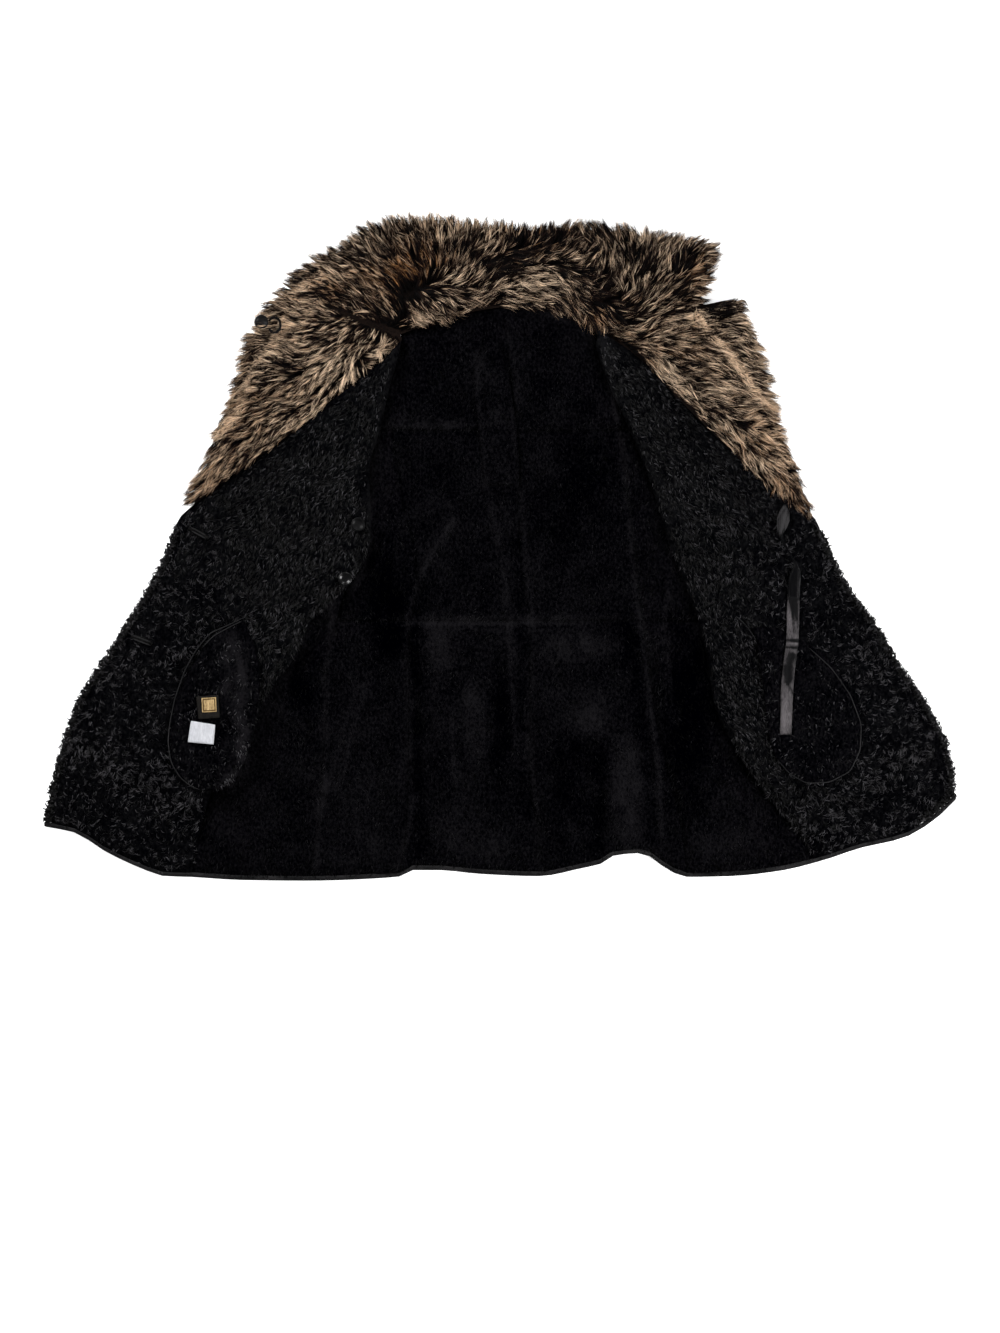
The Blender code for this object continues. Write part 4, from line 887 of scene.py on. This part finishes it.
def cord_of(name, line, radius, sides=6):
    """A rounded leather cord along an open line of points."""
    ahead = np.gradient(line, axis=0)
    ahead /= np.linalg.norm(ahead, axis=1)[:, None]
    side = np.cross(ahead, (0, 0, 1.0))
    side /= np.linalg.norm(side, axis=1)[:, None]
    above = np.cross(side, ahead)
    count = len(line)
    end = np.sqrt(np.clip(1 - np.abs(np.linspace(-1, 1, count)) ** 24, 0.02, 1))
    turn = np.arange(sides) * 2 * math.pi / sides
    around = (side[:, None] * np.cos(turn)[None, :, None]
              + above[:, None] * np.sin(turn)[None, :, None])
    places = (line[:, None] + around * radius * end[:, None, None]).reshape(-1, 3)
    triangles = []
    for k in range(count - 1):
        for c in range(sides):
            a, b = k * sides + c, k * sides + (c + 1) % sides
            triangles += [(a, a + sides, b), (b, a + sides, b + sides)]
    for c in range(1, sides - 1):
        triangles.append((0, c, c + 1))
        triangles.append(((count - 1) * sides, (count - 1) * sides + c + 1,
                          (count - 1) * sides + c))
    return make_object(name, places, np.array(triangles)[:, ::-1], [PIPING])


def over(node, plan, above):
    """Points of the plan laid on a CAD node's upper side, and above it by a little."""
    height = cast(form_of(node).tree, plan, -1)
    known = ~np.isnan(height)
    height = np.interp(np.arange(len(plan)), np.flatnonzero(known), height[known])
    return np.c_[plan, height + above]


def even_line(line, spacing):
    """A line of plan points cut into even short stretches and rounded at its corners."""
    run = np.r_[0, np.cumsum(np.hypot(*np.diff(line, axis=0).T))]
    count = max(3, int(run[-1] / spacing))
    fine = np.stack([np.interp(np.linspace(0, run[-1], count), run, line[:, k])
                     for k in range(2)], 1)
    for _ in range(4):
        fine[1:-1] = 0.25 * fine[:-2] + 0.5 * fine[1:-1] + 0.25 * fine[2:]
    return fine


# A button's profile as shares of its radius and thickness, from the middle of its underside to
# the middle of its top.
DISH = [(0, 0), (0.9, 0), (1, 0.3), (1, 0.72), (0.93, 0.95), (0.84, 1.0), (0.74, 0.94),
        (0.6, 0.62), (0.4, 0.5), (0, 0.46)]


def turned(node, finish, sides=48):
    """A button turned on a lathe where its CAD node lies."""
    low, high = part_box(node)
    middle = (low + high) / 2
    radius, thick = (high.x - low.x) / 2, high.z - low.z
    turn = np.arange(sides) * 2 * math.pi / sides
    rings = [np.stack([middle.x + r * radius * np.cos(turn), middle.y + r * radius * np.sin(turn),
                       np.full(sides, low.z + h * thick)], 1) for r, h in DISH[1:-1]]
    ends = [[middle.x, middle.y, low.z + DISH[k][1] * thick] for k in (0, -1)]
    places = np.vstack(rings + [ends])
    last = len(rings) - 1
    triangles = []
    for c in range(sides):
        d = (c + 1) % sides
        triangles.append((last * sides + sides, d, c))
        triangles.append((last * sides + sides + 1, last * sides + c, last * sides + d))
        for k in range(last):
            a, b = k * sides + c, k * sides + d
            triangles += [(a, b, b + sides), (a, b + sides, a + sides)]
    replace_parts(make_object(node + "_turned", places, np.array(triangles), [finish]), node)


# ---------------------------------------------------------------- hair
TONES = 24                    # steps that the hairs' tone and warmth are rounded to
WARMTHS = 4
HAIRS = 3                     # to a lock of long fur
FUR_SPACING = 0.0078          # between its tufts
FUR_REACH = FUR_SPACING * 0.68      # from the middle of a tuft to its locks
FUR_LENGTH = (0.018, 0.032)
FUR_WIDTH = (0.0005, 0.0009)
FUR_SHORTEST = 0.011          # of a hair that would pass the outline
LOCK_REACH = 0.0007           # from the middle of a lock to its hairs
HIDE_MARGIN = 0.004           # bare rim of the hide
ROOT_DEEP, ROOT_RUN = 0.26, 0.02    # share of the fur's height at its roots, and over what run
# The dark band beside a parting is painted shade.
PARTING_SHADE_BAND = (8.0, 4.0)   # dark band along a parting: how far off and half as wide, in steps
COLLAR_AT_LEAST = 0.4         # only the collar is wider
FUR_EDGE_COLLAR, FUR_EDGE_LAPEL, CURLS_EDGE = 0.006, 0.005, 0.0036   # hide drawn in from an edge
CURLS_OFF = (0.004, 0.010)    # roots of edge curls, in from the outline
NAP_PER_AREA = 45000          # clipped hairs to a square metre
NAP_SUNK = 0.0016
OUTER_EDGE_MIDDLE, OUTER_EDGE_HALF = -0.166, 0.194


def gaps_to(plan, table):
    """How far each point of the plan is from each row of a table."""
    where = spots(table)
    return np.hypot(plan[:, 0, None] - where[:, 0], plan[:, 1, None] - where[:, 1])


def column(table, index):
    return np.array([row[index] for row in table])


def flow_at(plan, table):
    """Heading of the fur at each point, from the nearest rows of a table, in radians."""
    angle = np.radians(column(table, 2))
    weight = 1 / (gaps_to(plan, table) + 0.006) ** 3
    return np.arctan2(weight @ np.sin(angle), weight @ np.cos(angle))


def patch_at(plan, table):
    """Change of tone and of warmth at each point; the tone is partly painted shade and highlight.
    """
    weight = np.exp(-((gaps_to(plan, table) / (column(table, 2) * PLAN_STEP)) ** 2))
    return weight @ column(table, 3), weight @ column(table, 4)


def grow(name, finish, roots, heading, rise, length, width, droop, curl, roll, tone, warmth,
         stations=3, ridge=0.0, taper=0.0):
    """Hairs as tapered ribbons, one mesh: each leaves its root by its heading and rise, sinks by
    droop and turns aside by curl as it goes; roll tilts its flat side. With a ridge it is a lock
    with a raised middle, and taper narrows its root too."""
    count = len(roots)
    steps = stations - 1
    sides = np.array([1.0, 0.0, -1.0] if ridge else [1.0, -1.0])
    columns = len(sides)
    rows = columns * steps + 1
    places = np.empty((count, rows, 3))
    here = roots.copy()
    for k in range(stations):
        share = k / steps
        bent = heading + curl * share
        lifted = rise - droop * share
        ahead = np.stack([np.cos(lifted) * np.cos(bent), np.cos(lifted) * np.sin(bent),
                          np.sin(lifted)], 1)
        side = np.stack([-np.sin(bent), np.cos(bent), np.zeros(count)], 1)
        above = np.cross(ahead, side)
        tilt = roll + 0.6 * curl * share if not ridge else roll
        flat = side * np.cos(tilt)[:, None] + above * np.sin(tilt)[:, None]
        bulge = above * np.cos(tilt)[:, None] - side * np.sin(tilt)[:, None]
        if k == steps:
            places[:, -1] = here
            break
        swell = (1 - share ** 2.2) * (1 - taper * (1 - share) ** 2)
        for c, across in enumerate(sides):
            raised = ridge * (1 - abs(across)) * swell * width
            places[:, columns * k + c] = (here + flat * (0.5 * width * swell * across)[:, None]
                                          + bulge * raised[:, None])
        here = here + ahead * (length / steps)[:, None]
    pattern = []
    for k in range(steps - 1):
        for c in range(columns - 1):
            a = columns * k + c
            pattern += [(a, a + 1, a + columns), (a + 1, a + columns + 1, a + columns)]
    last = columns * (steps - 1)
    pattern += [(last + c, last + c + 1, rows - 1) for c in range(columns - 1)]
    triangles = (np.array(pattern)[None] + (np.arange(count) * rows)[:, None, None]).reshape(-1, 3)
    made = make_object(name, places.reshape(-1, 3), triangles, [finish])
    mesh = made.data
    level = np.append(np.repeat(np.arange(steps), columns), steps) / steps
    tone_step = (tone.clip(0, 1) * (TONES - 1)).round()
    warm_step = (warmth.clip(0, 1) * (WARMTHS - 1)).round()
    keep_reading(mesh, "along", np.tile(level, count))
    keep_reading(mesh, "tone", np.repeat(tone_step / (TONES - 1), rows))
    keep_reading(mesh, "warmth", np.repeat(warm_step / (WARMTHS - 1), rows))
    swatch = np.repeat(tone_step * WARMTHS + warm_step, rows)
    offset = np.tile(np.append(np.tile(0.5 - 0.3 * sides, steps), 0.5), count)
    across = (swatch + offset) / (TONES * WARMTHS)
    down = 0.02 + 0.96 * np.tile(level, count)
    corners = triangles.ravel()
    sheet_map = mesh.uv_layers.new(name="OFBake")
    sheet_map.data.foreach_set("uv", np.stack([across[corners], down[corners]], 1)
                               .astype(np.float32).ravel())
    return made


def step(heading, length):
    return np.stack([np.cos(heading), np.sin(heading)], 1) * np.reshape(length, (-1, 1))


def heading_of(run):
    return np.arctan2(run[:, 1], run[:, 0])


def scatter(loop, count, rng):
    """Places spread evenly at random inside a closed outline."""
    low, high = loop.min(0), loop.max(0)
    found = np.zeros((0, 2))
    while len(found) < count:
        more = rng.uniform(low, high, (count, 2))
        found = np.vstack([found, more[inside(more, loop)]])
    return found[:count]


def tuft_places(loop, spacing, rng):
    """Middles of tufts: an uneven honeycomb inside a closed outline."""
    grid_x, grid_y = honeycomb(loop.min(0), loop.max(0) + spacing, spacing)
    middle = np.stack([grid_x.ravel(), grid_y.ravel()], 1)
    middle += rng.uniform(-0.42, 0.42, middle.shape) * spacing
    return middle[inside(middle, loop)]


def round_about(reach, count, rng):
    """Places spread evenly at random over a disc: how far off each is and its offset."""
    away = reach * np.sqrt(rng.uniform(0, 1, count))
    return away, step(rng.uniform(0, 2 * math.pi, count), away)


def members(middle, each, reach, rng):
    """Roots around the middles of tufts: which tuft, how far off and the offset."""
    which = np.repeat(np.arange(len(middle)), each)
    return which, *round_about(reach, len(which), rng)


def fur(node, flow, patches, line, locks, level, slack, seed):
    """Long fur on a dark underwool shell, parted at a line: hairs run together into locks and
    locks into tufts, which lean the way the flow table says; level is their mean tone and slack
    how far their tips pass the outline, from and to."""
    rng = np.random.default_rng(seed)
    form = form_of(node)
    middle = tuft_places(form.loop, FUR_SPACING, rng)
    tufts = len(middle)
    tuft_way = flow_at(middle, flow) + rng.normal(0, 0.13, tufts)
    tuft_way += 0.30 * soft_noise(middle, 0.024, seed + 1)
    tuft_length = rng.uniform(*FUR_LENGTH, tufts)
    tuft_curl = rng.normal(0, 0.36, tufts)
    tuft_tone = rng.normal(0, 0.13, tufts)
    tuft_rise = rng.uniform(0.30, 0.72, tufts)
    tip = middle + step(tuft_way, tuft_length * 0.9)
    out_by = form.edge_gap(tip) * np.where(form.over(tip), -1, 1)
    tuft_back = (out_by - rng.uniform(*slack, tufts)).clip(0, None)
    which, away, off = members(middle, locks, FUR_REACH, rng)
    kept = form.over(middle[which] + off)
    which, away, off = which[kept], away[kept], off[kept]
    place, way, back = middle[which] + off, tuft_way[which], tuft_back[which]
    total = len(which)
    aim = step(way, tuft_length[which]) - off * 0.72
    heading = heading_of(aim + rng.normal(0, 0.0016, (total, 2)))
    length = tuft_length[which] * rng.uniform(0.82, 1.1, total)
    root = place - step(way, back)
    lost = ~form.over(root) | (form.edge_gap(root) < HIDE_MARGIN)
    root = np.where(lost[:, None], place, root)
    length = np.where(lost, (length - back).clip(FUR_SHORTEST, None), length)
    top, base = form.top_and_base(root)
    crown = 1 - away / FUR_REACH
    depth = ROOT_DEEP + ROOT_DEEP * (form.edge_gap(root) / ROOT_RUN).clip(0, 1) + 0.08 * crown
    height = base + (top - base) * depth
    shown = root + step(heading, length * 0.66)
    # A parting's ridge is painted pale as highlight and the band beside it dark as shade, and the
    # middle of each tuft is painted lighter than its sides: painted highlight and painted shade.
    tone_change, warm_change = patch_at(shown, patches)
    gap = line_distance(shown, spots(line)) / PLAN_STEP
    ridge = np.exp(-((gap / PARTING_HIGHLIGHT_REACH) ** 2))
    beside = np.exp(-(((gap - PARTING_SHADE_BAND[0]) / PARTING_SHADE_BAND[1]) ** 2))
    tone = level + tone_change + 0.45 * ridge - 0.20 * beside + tuft_tone[which]
    tone += rng.normal(0, 0.36, total) + 0.50 * (crown - 0.36)
    tone += 0.12 * soft_noise(shown, 0.03, seed + 2)
    warmth = 0.18 + warm_change + rng.normal(0, 0.16, total)
    warmth += 0.14 * soft_noise(shown, 0.05, seed + 3)
    rise = tuft_rise[which] + 0.16 * crown + rng.normal(0, 0.06, total)
    droop = rise * 0.9 + rng.uniform(0.15, 0.5, total)
    curl = tuft_curl[which] + rng.normal(0, 0.22, total)
    chosen = np.repeat(np.flatnonzero(~np.isnan(top + base)), HAIRS)
    count = len(chosen)
    _, off_lock = round_about(LOCK_REACH, count, rng)
    roots = np.c_[root[chosen] + off_lock, height[chosen] + rng.uniform(-0.001, 0.001, count)]
    hair_length = length[chosen] * rng.uniform(0.62, 1.12, count)
    facing = heading[chosen]
    sideways = off_lock[:, 0] * -np.sin(facing) + off_lock[:, 1] * np.cos(facing)
    pull = np.arctan2(-sideways * 0.85, hair_length)
    return grow(
        node + "_hair", LONG_FUR, roots,
        facing + pull + rng.normal(0, 0.06, count),
        rise[chosen] + rng.normal(0, 0.10, count),
        hair_length,
        rng.uniform(*FUR_WIDTH, count),
        droop[chosen],
        curl[chosen] + rng.normal(0, 0.12, count),
        rng.normal(0, 0.7, count),
        tone[chosen] + rng.normal(0, 0.18, count),
        warmth[chosen] + rng.normal(0, 0.10, count),
    )


def parting(node, line, flow, count):
    """Short hairs along the line where long fur parts, painted pale as the highlight on its ridge.
    """
    rng = np.random.default_rng(77)
    form = form_of(node)
    fine = even_line(spots(line), 0.002)
    place = fine[rng.integers(0, len(fine), count)] + rng.normal(0, 0.0017, (count, 2))
    place = place[form.over(place)]
    top, base = form.top_and_base(place)
    place, top, base = (kept[~np.isnan(top + base)] for kept in (place, top, base))
    total = len(place)
    return grow(
        node + "_parting", LONG_FUR, np.c_[place, base + (top - base) * 0.72],
        flow_at(place, flow) + rng.normal(0, 0.5, total),
        rng.uniform(0.1, 0.6, total),
        rng.uniform(0.006, 0.012, total),
        rng.uniform(0.0006, 0.0010, total),
        rng.uniform(0.2, 0.7, total),
        rng.normal(0, 0.4, total),
        rng.normal(0, 0.6, total),
        rng.normal(0.92, 0.14, total),
        rng.normal(0.26, 0.14, total),
    )


def drawn_in(free, by):
    """How far each point of a rim moves: in by so much where it is free, else out to meet."""
    free = free.astype(float)
    for _ in range(3):
        free = 0.25 * np.roll(free, 1) + 0.5 * free + 0.25 * np.roll(free, -1)
    return SEAM_MEET - (by + SEAM_MEET) * free


def fur_edge(rim):
    """The hide ends inside the tips of its long hairs, but not where it is sewn."""
    out = outwards(rim)
    if np.ptp(rim[:, 0]) > COLLAR_AT_LEAST:
        return drawn_in(out[:, 1] > -0.36, FUR_EDGE_COLLAR)
    return drawn_in(out[:, 0] * np.sign(rim[:, 0]) > 0.5, FUR_EDGE_LAPEL)


def fur_skin(node):
    """The underwool and hide below long fur: the node's form, drawn in and lower than the fur."""
    skin = lay_panel(node, node + "_skin", "long_fur", [SKIN, HIDE], 0.0065,
                     [(0.012, 0.0012, 1)], settle_times=6, edge=fur_edge)
    form, mesh = form_of(node), skin.data
    places = np.empty(len(mesh.vertices) * 3, np.float32)
    mesh.vertices.foreach_get("co", places)
    places = places.reshape(-1, 3).astype(float)
    base = cast(form.tree, places[:, :2], 1)
    base = np.where(np.isnan(base), places[:, 2], base)
    share = 0.22 + ROOT_DEEP * (form.edge_gap(places[:, :2]) / ROOT_RUN).clip(0, 1)
    places[:, 2] = base + (places[:, 2] - base) * share
    mesh.vertices.foreach_set("co", places.astype(np.float32).ravel())
    mesh.update()
    return skin


def wool(node, name, spacing, each, length, width, heading, seed, curl, spread, tone,
         each_tone, chosen=None, rise=0.4, droop=0.9, stations=3, sink=0.003, hem=None):
    """Curled wool in tufts on a fleece shell, hanging the way that heading says and kept off
    the hem. Curl and tone are a mean and its spread; each_tone is how hairs of a tuft differ."""
    rng = np.random.default_rng(seed)
    form = form_of(node)
    middle = tuft_places(form.loop, spacing, rng)
    if chosen:
        middle = middle[chosen(middle, rng)]
    tufts = len(middle)
    tuft_way = heading(middle) + rng.normal(0, spread, tufts)
    tuft_way += 0.45 * soft_noise(middle, spacing * 5, seed + 4)
    tuft_curl = rng.choice([-1, 1], tufts) * rng.normal(*curl, tufts)
    tuft_tone = rng.normal(0, tone[1], tufts)
    which, away, off = members(middle, each, spacing * 0.6, rng)
    span = rng.uniform(*length, len(which))
    facing = heading_of(step(tuft_way[which], span) - off * 0.6)
    place = middle[which] + off
    height = cast(tree_of(cloth[node]), place, -1)
    sound = ~np.isnan(height) & form.over(place) & (form.edge_gap(place) > 0.002)
    if hem:
        for spot_on_hair in (place, place + step(facing, span * 0.8)):
            sound &= ~form_of(hem).over(spot_on_hair)
    pick = np.flatnonzero(sound)
    count = len(pick)
    facing, span, tuft = facing[pick], span[pick], which[pick]
    crown = 1 - away[pick] / (spacing * 0.6)
    shown = place[pick] + step(facing, span * 0.5)
    # The middle of a tuft is painted lighter than its edges, and creases and blotches add theirs:
    # painted highlight and painted shade.
    shade = tone[0] + tuft_tone[tuft] + 0.16 * (crown - 0.35)
    shade += marks_at(shown, CREASES, PILE_TONE_AND_PAINTED_LIGHT)[1]
    shade += 0.12 * soft_noise(shown, 0.03, seed + 5)
    return grow(
        name, CURL_WOOL, np.c_[place[pick], height[pick] - sink],
        facing + rng.normal(0, 0.18, count),
        rise + 0.35 * crown + rng.normal(0, 0.12, count),
        span,
        rng.uniform(*width, count),
        droop + 0.3 * crown,
        tuft_curl[tuft] + rng.normal(0, 0.3, count),
        rng.normal(0, 0.5, count),
        shade + rng.normal(0, each_tone, count),
        rng.uniform(0, 1, count),
        stations, taper=0.45,
    )


def nap(node, seed):
    """Short clipped pile on a fleece shell, brushed aside in patches."""
    rng = np.random.default_rng(seed)
    form = form_of(node)
    low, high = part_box(node)
    place = scatter(form.loop, int((high.x - low.x) * (high.y - low.y) * NAP_PER_AREA), rng)
    height = cast(tree_of(cloth[node]), place, -1)
    sound = ~np.isnan(height) & (form.edge_gap(place) > 0.0012)
    place, height = place[sound], height[sound]
    total = len(place)
    turned_by = down_heading(place) + 0.9 * soft_noise(place, 0.022, seed + 4)
    span = rng.uniform(0.005, 0.009, total)
    shown = place + step(turned_by, span * 0.6)
    shade = 0.40 + 0.14 * soft_noise(shown, 0.016, seed + 5)
    # Creases and blotches give the pile their painted highlight and painted shade.
    shade += marks_at(shown, CREASES, PILE_TONE_AND_PAINTED_LIGHT)[1]
    shade += 0.10 * soft_noise(shown * (3, 1), 0.012, seed + 6)
    return grow(
        node + "_nap", PLUSH_WOOL, np.c_[place, height - NAP_SUNK],
        turned_by + rng.normal(0, 0.3, total),
        0.4 + rng.normal(0, 0.15, total),
        span,
        rng.uniform(0.0010, 0.0017, total),
        np.full(total, 0.45),
        rng.normal(0, 0.4, total),
        rng.normal(0, 0.5, total),
        shade + rng.normal(0, 0.16, total),
        rng.uniform(0, 1, total),
    )


def outer_edge(rim):
    """The free outer edge of a front, from the lapel to the hem."""
    facing = heading_of(outwards(rim))
    along = abs(rim[:, 1] - OUTER_EDGE_MIDDLE) < OUTER_EDGE_HALF
    return (np.cos(facing) * np.sign(rim[:, 0]) > 0.3) & along


def drawn_in_edge(rim):
    """Fronts end a little inside their outline where curls stand out from them."""
    return drawn_in(outer_edge(rim), CURLS_EDGE)


def edge_curls(node, seed, count=1500):
    """Curls that stand out from the free edge of a front."""
    rng = np.random.default_rng(seed)
    form = form_of(node)
    rim = finer(form.rim, 0.003)
    out = outwards(rim)
    pick = rng.choice(np.flatnonzero(outer_edge(rim)), count)
    plan = rim[pick, :2] - out[pick] * rng.uniform(*CURLS_OFF, count)[:, None]
    plan += rng.normal(0, 0.0012, (count, 2))
    top, base = form.top_and_base(plan)
    sound = ~np.isnan(top)
    share = rng.uniform(0.30, 0.95, count)
    roots = np.c_[plan, base + (top - base) * share][sound]
    total = len(roots)
    return grow(
        node + "_edge_curls", CURL_WOOL, roots,
        heading_of(out)[pick][sound] + rng.normal(0, 0.6, total),
        rng.uniform(-0.2, 0.6, total),
        rng.uniform(0.006, 0.011, total),
        rng.uniform(0.0024, 0.0038, total),
        rng.uniform(0.3, 1.2, total),
        rng.choice([-1, 1], total) * rng.uniform(1.5, 3.4, total),
        rng.normal(0, 0.6, total),
        rng.normal(0.34, 0.2, total),
        rng.uniform(0, 1, total),
        stations=4, ridge=0.34, taper=0.3,
    )


# ---------------------------------------------------------------- the coat

# Hills and hollows of a surface: how far apart, how high, and which set of them, in metres.
PLUSH_RELIEF = [(0.024, 0.0016, 1), (0.010, 0.0010, 2)]
CURLY_RELIEF = [(0.016, 0.0018, 1), (0.009, 0.0010, 2)]
LEATHER_RELIEF = [(0.05, 0.0006, 1), (0.018, 0.0003, 2)]
FRONTS = ("front_left", "front_right")


def sheets_named(*starts):
    """The sheets whose names start so, one start after the other."""
    return [node for start in starts for node in CUTS if node.startswith(start)]


def front_heading(place):
    """Wool hangs from the shoulder outwards and down on both fronts."""
    side = np.where(place[:, 0] > 0, 1, -1)
    fall = np.clip((0.1 - place[:, 1]) / 0.5, 0, 1)
    return np.radians(-90 + side * (32 - 18 * fall))


def down_heading(place):
    return np.full(len(place), math.radians(-90))


def coarseness(plan, rng):
    weight = 1 / (gaps_to(plan, COARSE) + 0.01) ** 3
    return weight @ column(COARSE, 2) / weight.sum(1) + rng.normal(0, 0.16, len(plan))


def covered(plan):
    """Where a pocket bag or the strap lies over a front."""
    return np.any([form_of(cover).over(plan) for cover in [*POCKET_LINES, "strap"]], axis=0)


def coarse_part(plan, rng):
    return (coarseness(plan, rng) > 0.42) & ~covered(plan)


def fine_part(plan, rng):
    return (coarseness(plan, rng) <= 0.46) & ~covered(plan)


cloth = {}
worn = {}
for node in sheets_named("back", "side", "centre", "pocket"):
    cloth[node] = lay_panel(node, node + "_fleece", "clipped_fleece", [CLIPPED, HIDE], 0.0046,
                            PLUSH_RELIEF, sink=0.0010, creases=CREASES, blotches=PILE_TONE_AND_PAINTED_LIGHT)
lining = tree_of_nodes("back_", "side_", "hem_back", "hem_side")
for node in FRONTS:
    cloth[node] = lay_panel(node, node + "_fleece", "curly_fleece", [CURLY, HIDE], 0.0064,
                            CURLY_RELIEF, sink=0.0020, creases=CREASES, edge=drawn_in_edge,
                            beside=lining)
for node in sheets_named("under", "sleeve", "collar_loop", "hem", "buttonhole"):
    wide = node.startswith(("sleeve", "under"))
    side = {"but": SLIT, "hem": HEM}.get(node[:3], LEATHER)
    cloth[node] = lay_panel(node, node + "_leather", "black_leather", [side, side],
                            0.010 if wide else 0.0035, LEATHER_RELIEF if wide else (),
                            edge=fur_edge if node.startswith("under") else None)

FURS = (
    ("collar", COLLAR_FLOW, COLLAR_PATCHES, PARTING_HIGH, 19, 0.22, (0.0, 0.011), 11, 700),
    ("lapel_left", LAPEL_LEFT_FLOW, LAPEL_LEFT_PATCHES, PARTING_LEFT, 21, 0.43,
     (-0.003, 0.008), 22, 1500),
    ("lapel_right", LAPEL_RIGHT_FLOW, LAPEL_RIGHT_PATCHES, PARTING_RIGHT, 21, 0.41,
     (-0.003, 0.009), 33, 1500),
)
for node, *fur_of_it, _ in FURS:
    cloth[node] = fur_skin(node)
    worn[node] = [fur(node, *fur_of_it)]
for node, flow, _, line, *_, count in FURS:
    worn[node].append(parting(node, line, flow, count))

for index, node in enumerate(FRONTS):
    worn[node] = [
        wool(node, node + "_curls", 0.0074, 16, (0.007, 0.012),
             (0.0011, 0.0021), front_heading, 41 + index, (2.1, 0.6), 0.8, (0.54, 0.11), 0.24,
             coarse_part, rise=0.5, droop=1.2, stations=4, hem="hem_" + node),
        wool(node, node + "_wool", 0.0052, 11, (0.007, 0.012),
             (0.0012, 0.0020), front_heading, 51 + index, (0.7, 0.4), 0.16, (0.16, 0.08), 0.28,
             fine_part, sink=0.0024, hem="hem_" + node),
        edge_curls(node, 141 + index),
    ]
for node, lines in POCKET_LINES.items():
    worn[node] = [wool(node, node + "_wool", 0.0052, 7, (0.006, 0.010),
                       (0.0012, 0.0020), down_heading, 51, (0.9, 0.5), 0.5, (0.28, 0.16), 0.34)]
    for index, line in enumerate(lines):
        on = node if index or node.endswith("left") else "front_right"
        edge = over(on, even_line(spots(line), 0.003), 0.0004)
        worn[node].append(cord_of(f"{node}_piping_{index}", edge, 0.0007))
for index, node in enumerate(sheets_named("back", "side", "centre")):
    worn[node] = [nap(node, 60 + index)]

strap_marks = {"creases": STRAP_CREASES, "blotches": STRAP_STAINS,
               "edge": lambda rim: np.full(len(rim), -0.0009)}
for node, slot, finish, spacing, marks in (
    ("strap", "black_satin", SATIN, 0.0018, strap_marks),
    ("label_woven", "black_weave", LABEL_CLOTH, 0.0024, {}),
    ("label_square", "gold_weave", GOLD_CLOTH, 0.0007, {"border": (0.0020, 0.0004, -0.8)}),
    ("label_care", "white_satin", WHITE_CLOTH, 0.0024, {}),
):
    cloth[node] = lay_panel(node, node + "_cloth", slot, [finish, finish], spacing,
                            settle_times=1, **marks)
strap_mesh = cloth["strap"].data
strap_mesh.materials[1] = STRAP_LEATHER
for face in strap_mesh.polygons:
    face.material_index = int(face.center.y > spot(0, RIBBON_SEAM)[1])
for node, ends in (("buttonhole_upper", [(191, 529), (206, 537)]),
                   ("buttonhole_lower", [(133, 637), (152, 644)])):
    worn[node] = []
    for index, beside in enumerate((-WELT_APART, WELT_APART)):
        welt = even_line(spots([(x, y + beside) for x, y in ends]), 0.003)
        worn[node].append(cord_of(f"{node}_welt_{index}", over(node, welt, 0.0005), 0.0009))
for node, slot, finish in (
    ("inner_button_upper", "black_button", HORN_MATT),
    ("inner_button_lower", "black_button", HORN_BLACK),
    ("collar_button", "dark_button", HORN_DARK),
):
    turned(node, finish)
for node in ("button_upper", "button_lower"):
    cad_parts[node].data.materials.clear()
    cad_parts[node].data.materials.append(HORN_BLACK)

# ---------------------------------------------------------------- floor, light and camera
VIEW_HEIGHT = 5.0
VIEW_LEVEL = 0.015       # the height at which the picture's edge has the plan's scale
FRAME_HEIGHT = PLAN_SIZE[1] * PLAN_STEP
SENSOR = 36.0
FLOOR_LEVEL = -0.0004    # just beneath the coat

floor_mesh = bpy.data.meshes.new("floor")
corners = [(x, y, FLOOR_LEVEL) for x, y in ((-4, -4), (4, -4), (4, 4), (-4, 4))]
floor_mesh.from_pydata(corners, [], [(0, 1, 2, 3)])
floor = placed("floor", floor_mesh)
paper = Finish("white_paper", Roughness=0.9, Emission_Strength=0.66)
paper.shader.inputs["Emission Color"].default_value = (1, 1, 1, 1)
grain = paper.noise(40.0, 3.0)
paper.paint(Base_Color=paper.mix(grain, rgb(243, 243, 243), rgb(247, 247, 247)))
floor_mesh.materials.append(paper.material)

world = bpy.data.worlds.new("studio")
world.use_nodes = True
world.node_tree.nodes["Background"].inputs["Color"].default_value = (1, 1, 1, 1)
world.node_tree.nodes["Background"].inputs["Strength"].default_value = 0.16
bpy.context.scene.world = world


def soft_light(name, place, size, power):
    """A round lamp aimed at the middle of the coat."""
    light = bpy.data.lights.new(name, "AREA")
    light.shape = "DISK"
    light.size = size
    light.energy = power
    lamp = placed(name, light)
    lamp.location = place
    lamp.rotation_euler = (-Vector(place)).to_track_quat("-Z", "Y").to_euler()


soft_light("left", (-1.9, 1.3, 1.9), 1.5, 95)
soft_light("right", (2.1, -0.9, 1.9), 1.5, 95)
soft_light("top", (0.6, 2.1, 2.2), 1.0, 28)

camera_data = bpy.data.cameras.new("camera")
camera_data.sensor_width = SENSOR
camera_data.lens = SENSOR * (VIEW_HEIGHT - VIEW_LEVEL) / FRAME_HEIGHT
camera = placed("camera", camera_data)
camera.location = (*spot(PLAN_SIZE[0] / 2, PLAN_SIZE[1] / 2), VIEW_HEIGHT)
bpy.context.scene.camera = camera
bpy.context.scene.view_settings.view_transform = "Standard"
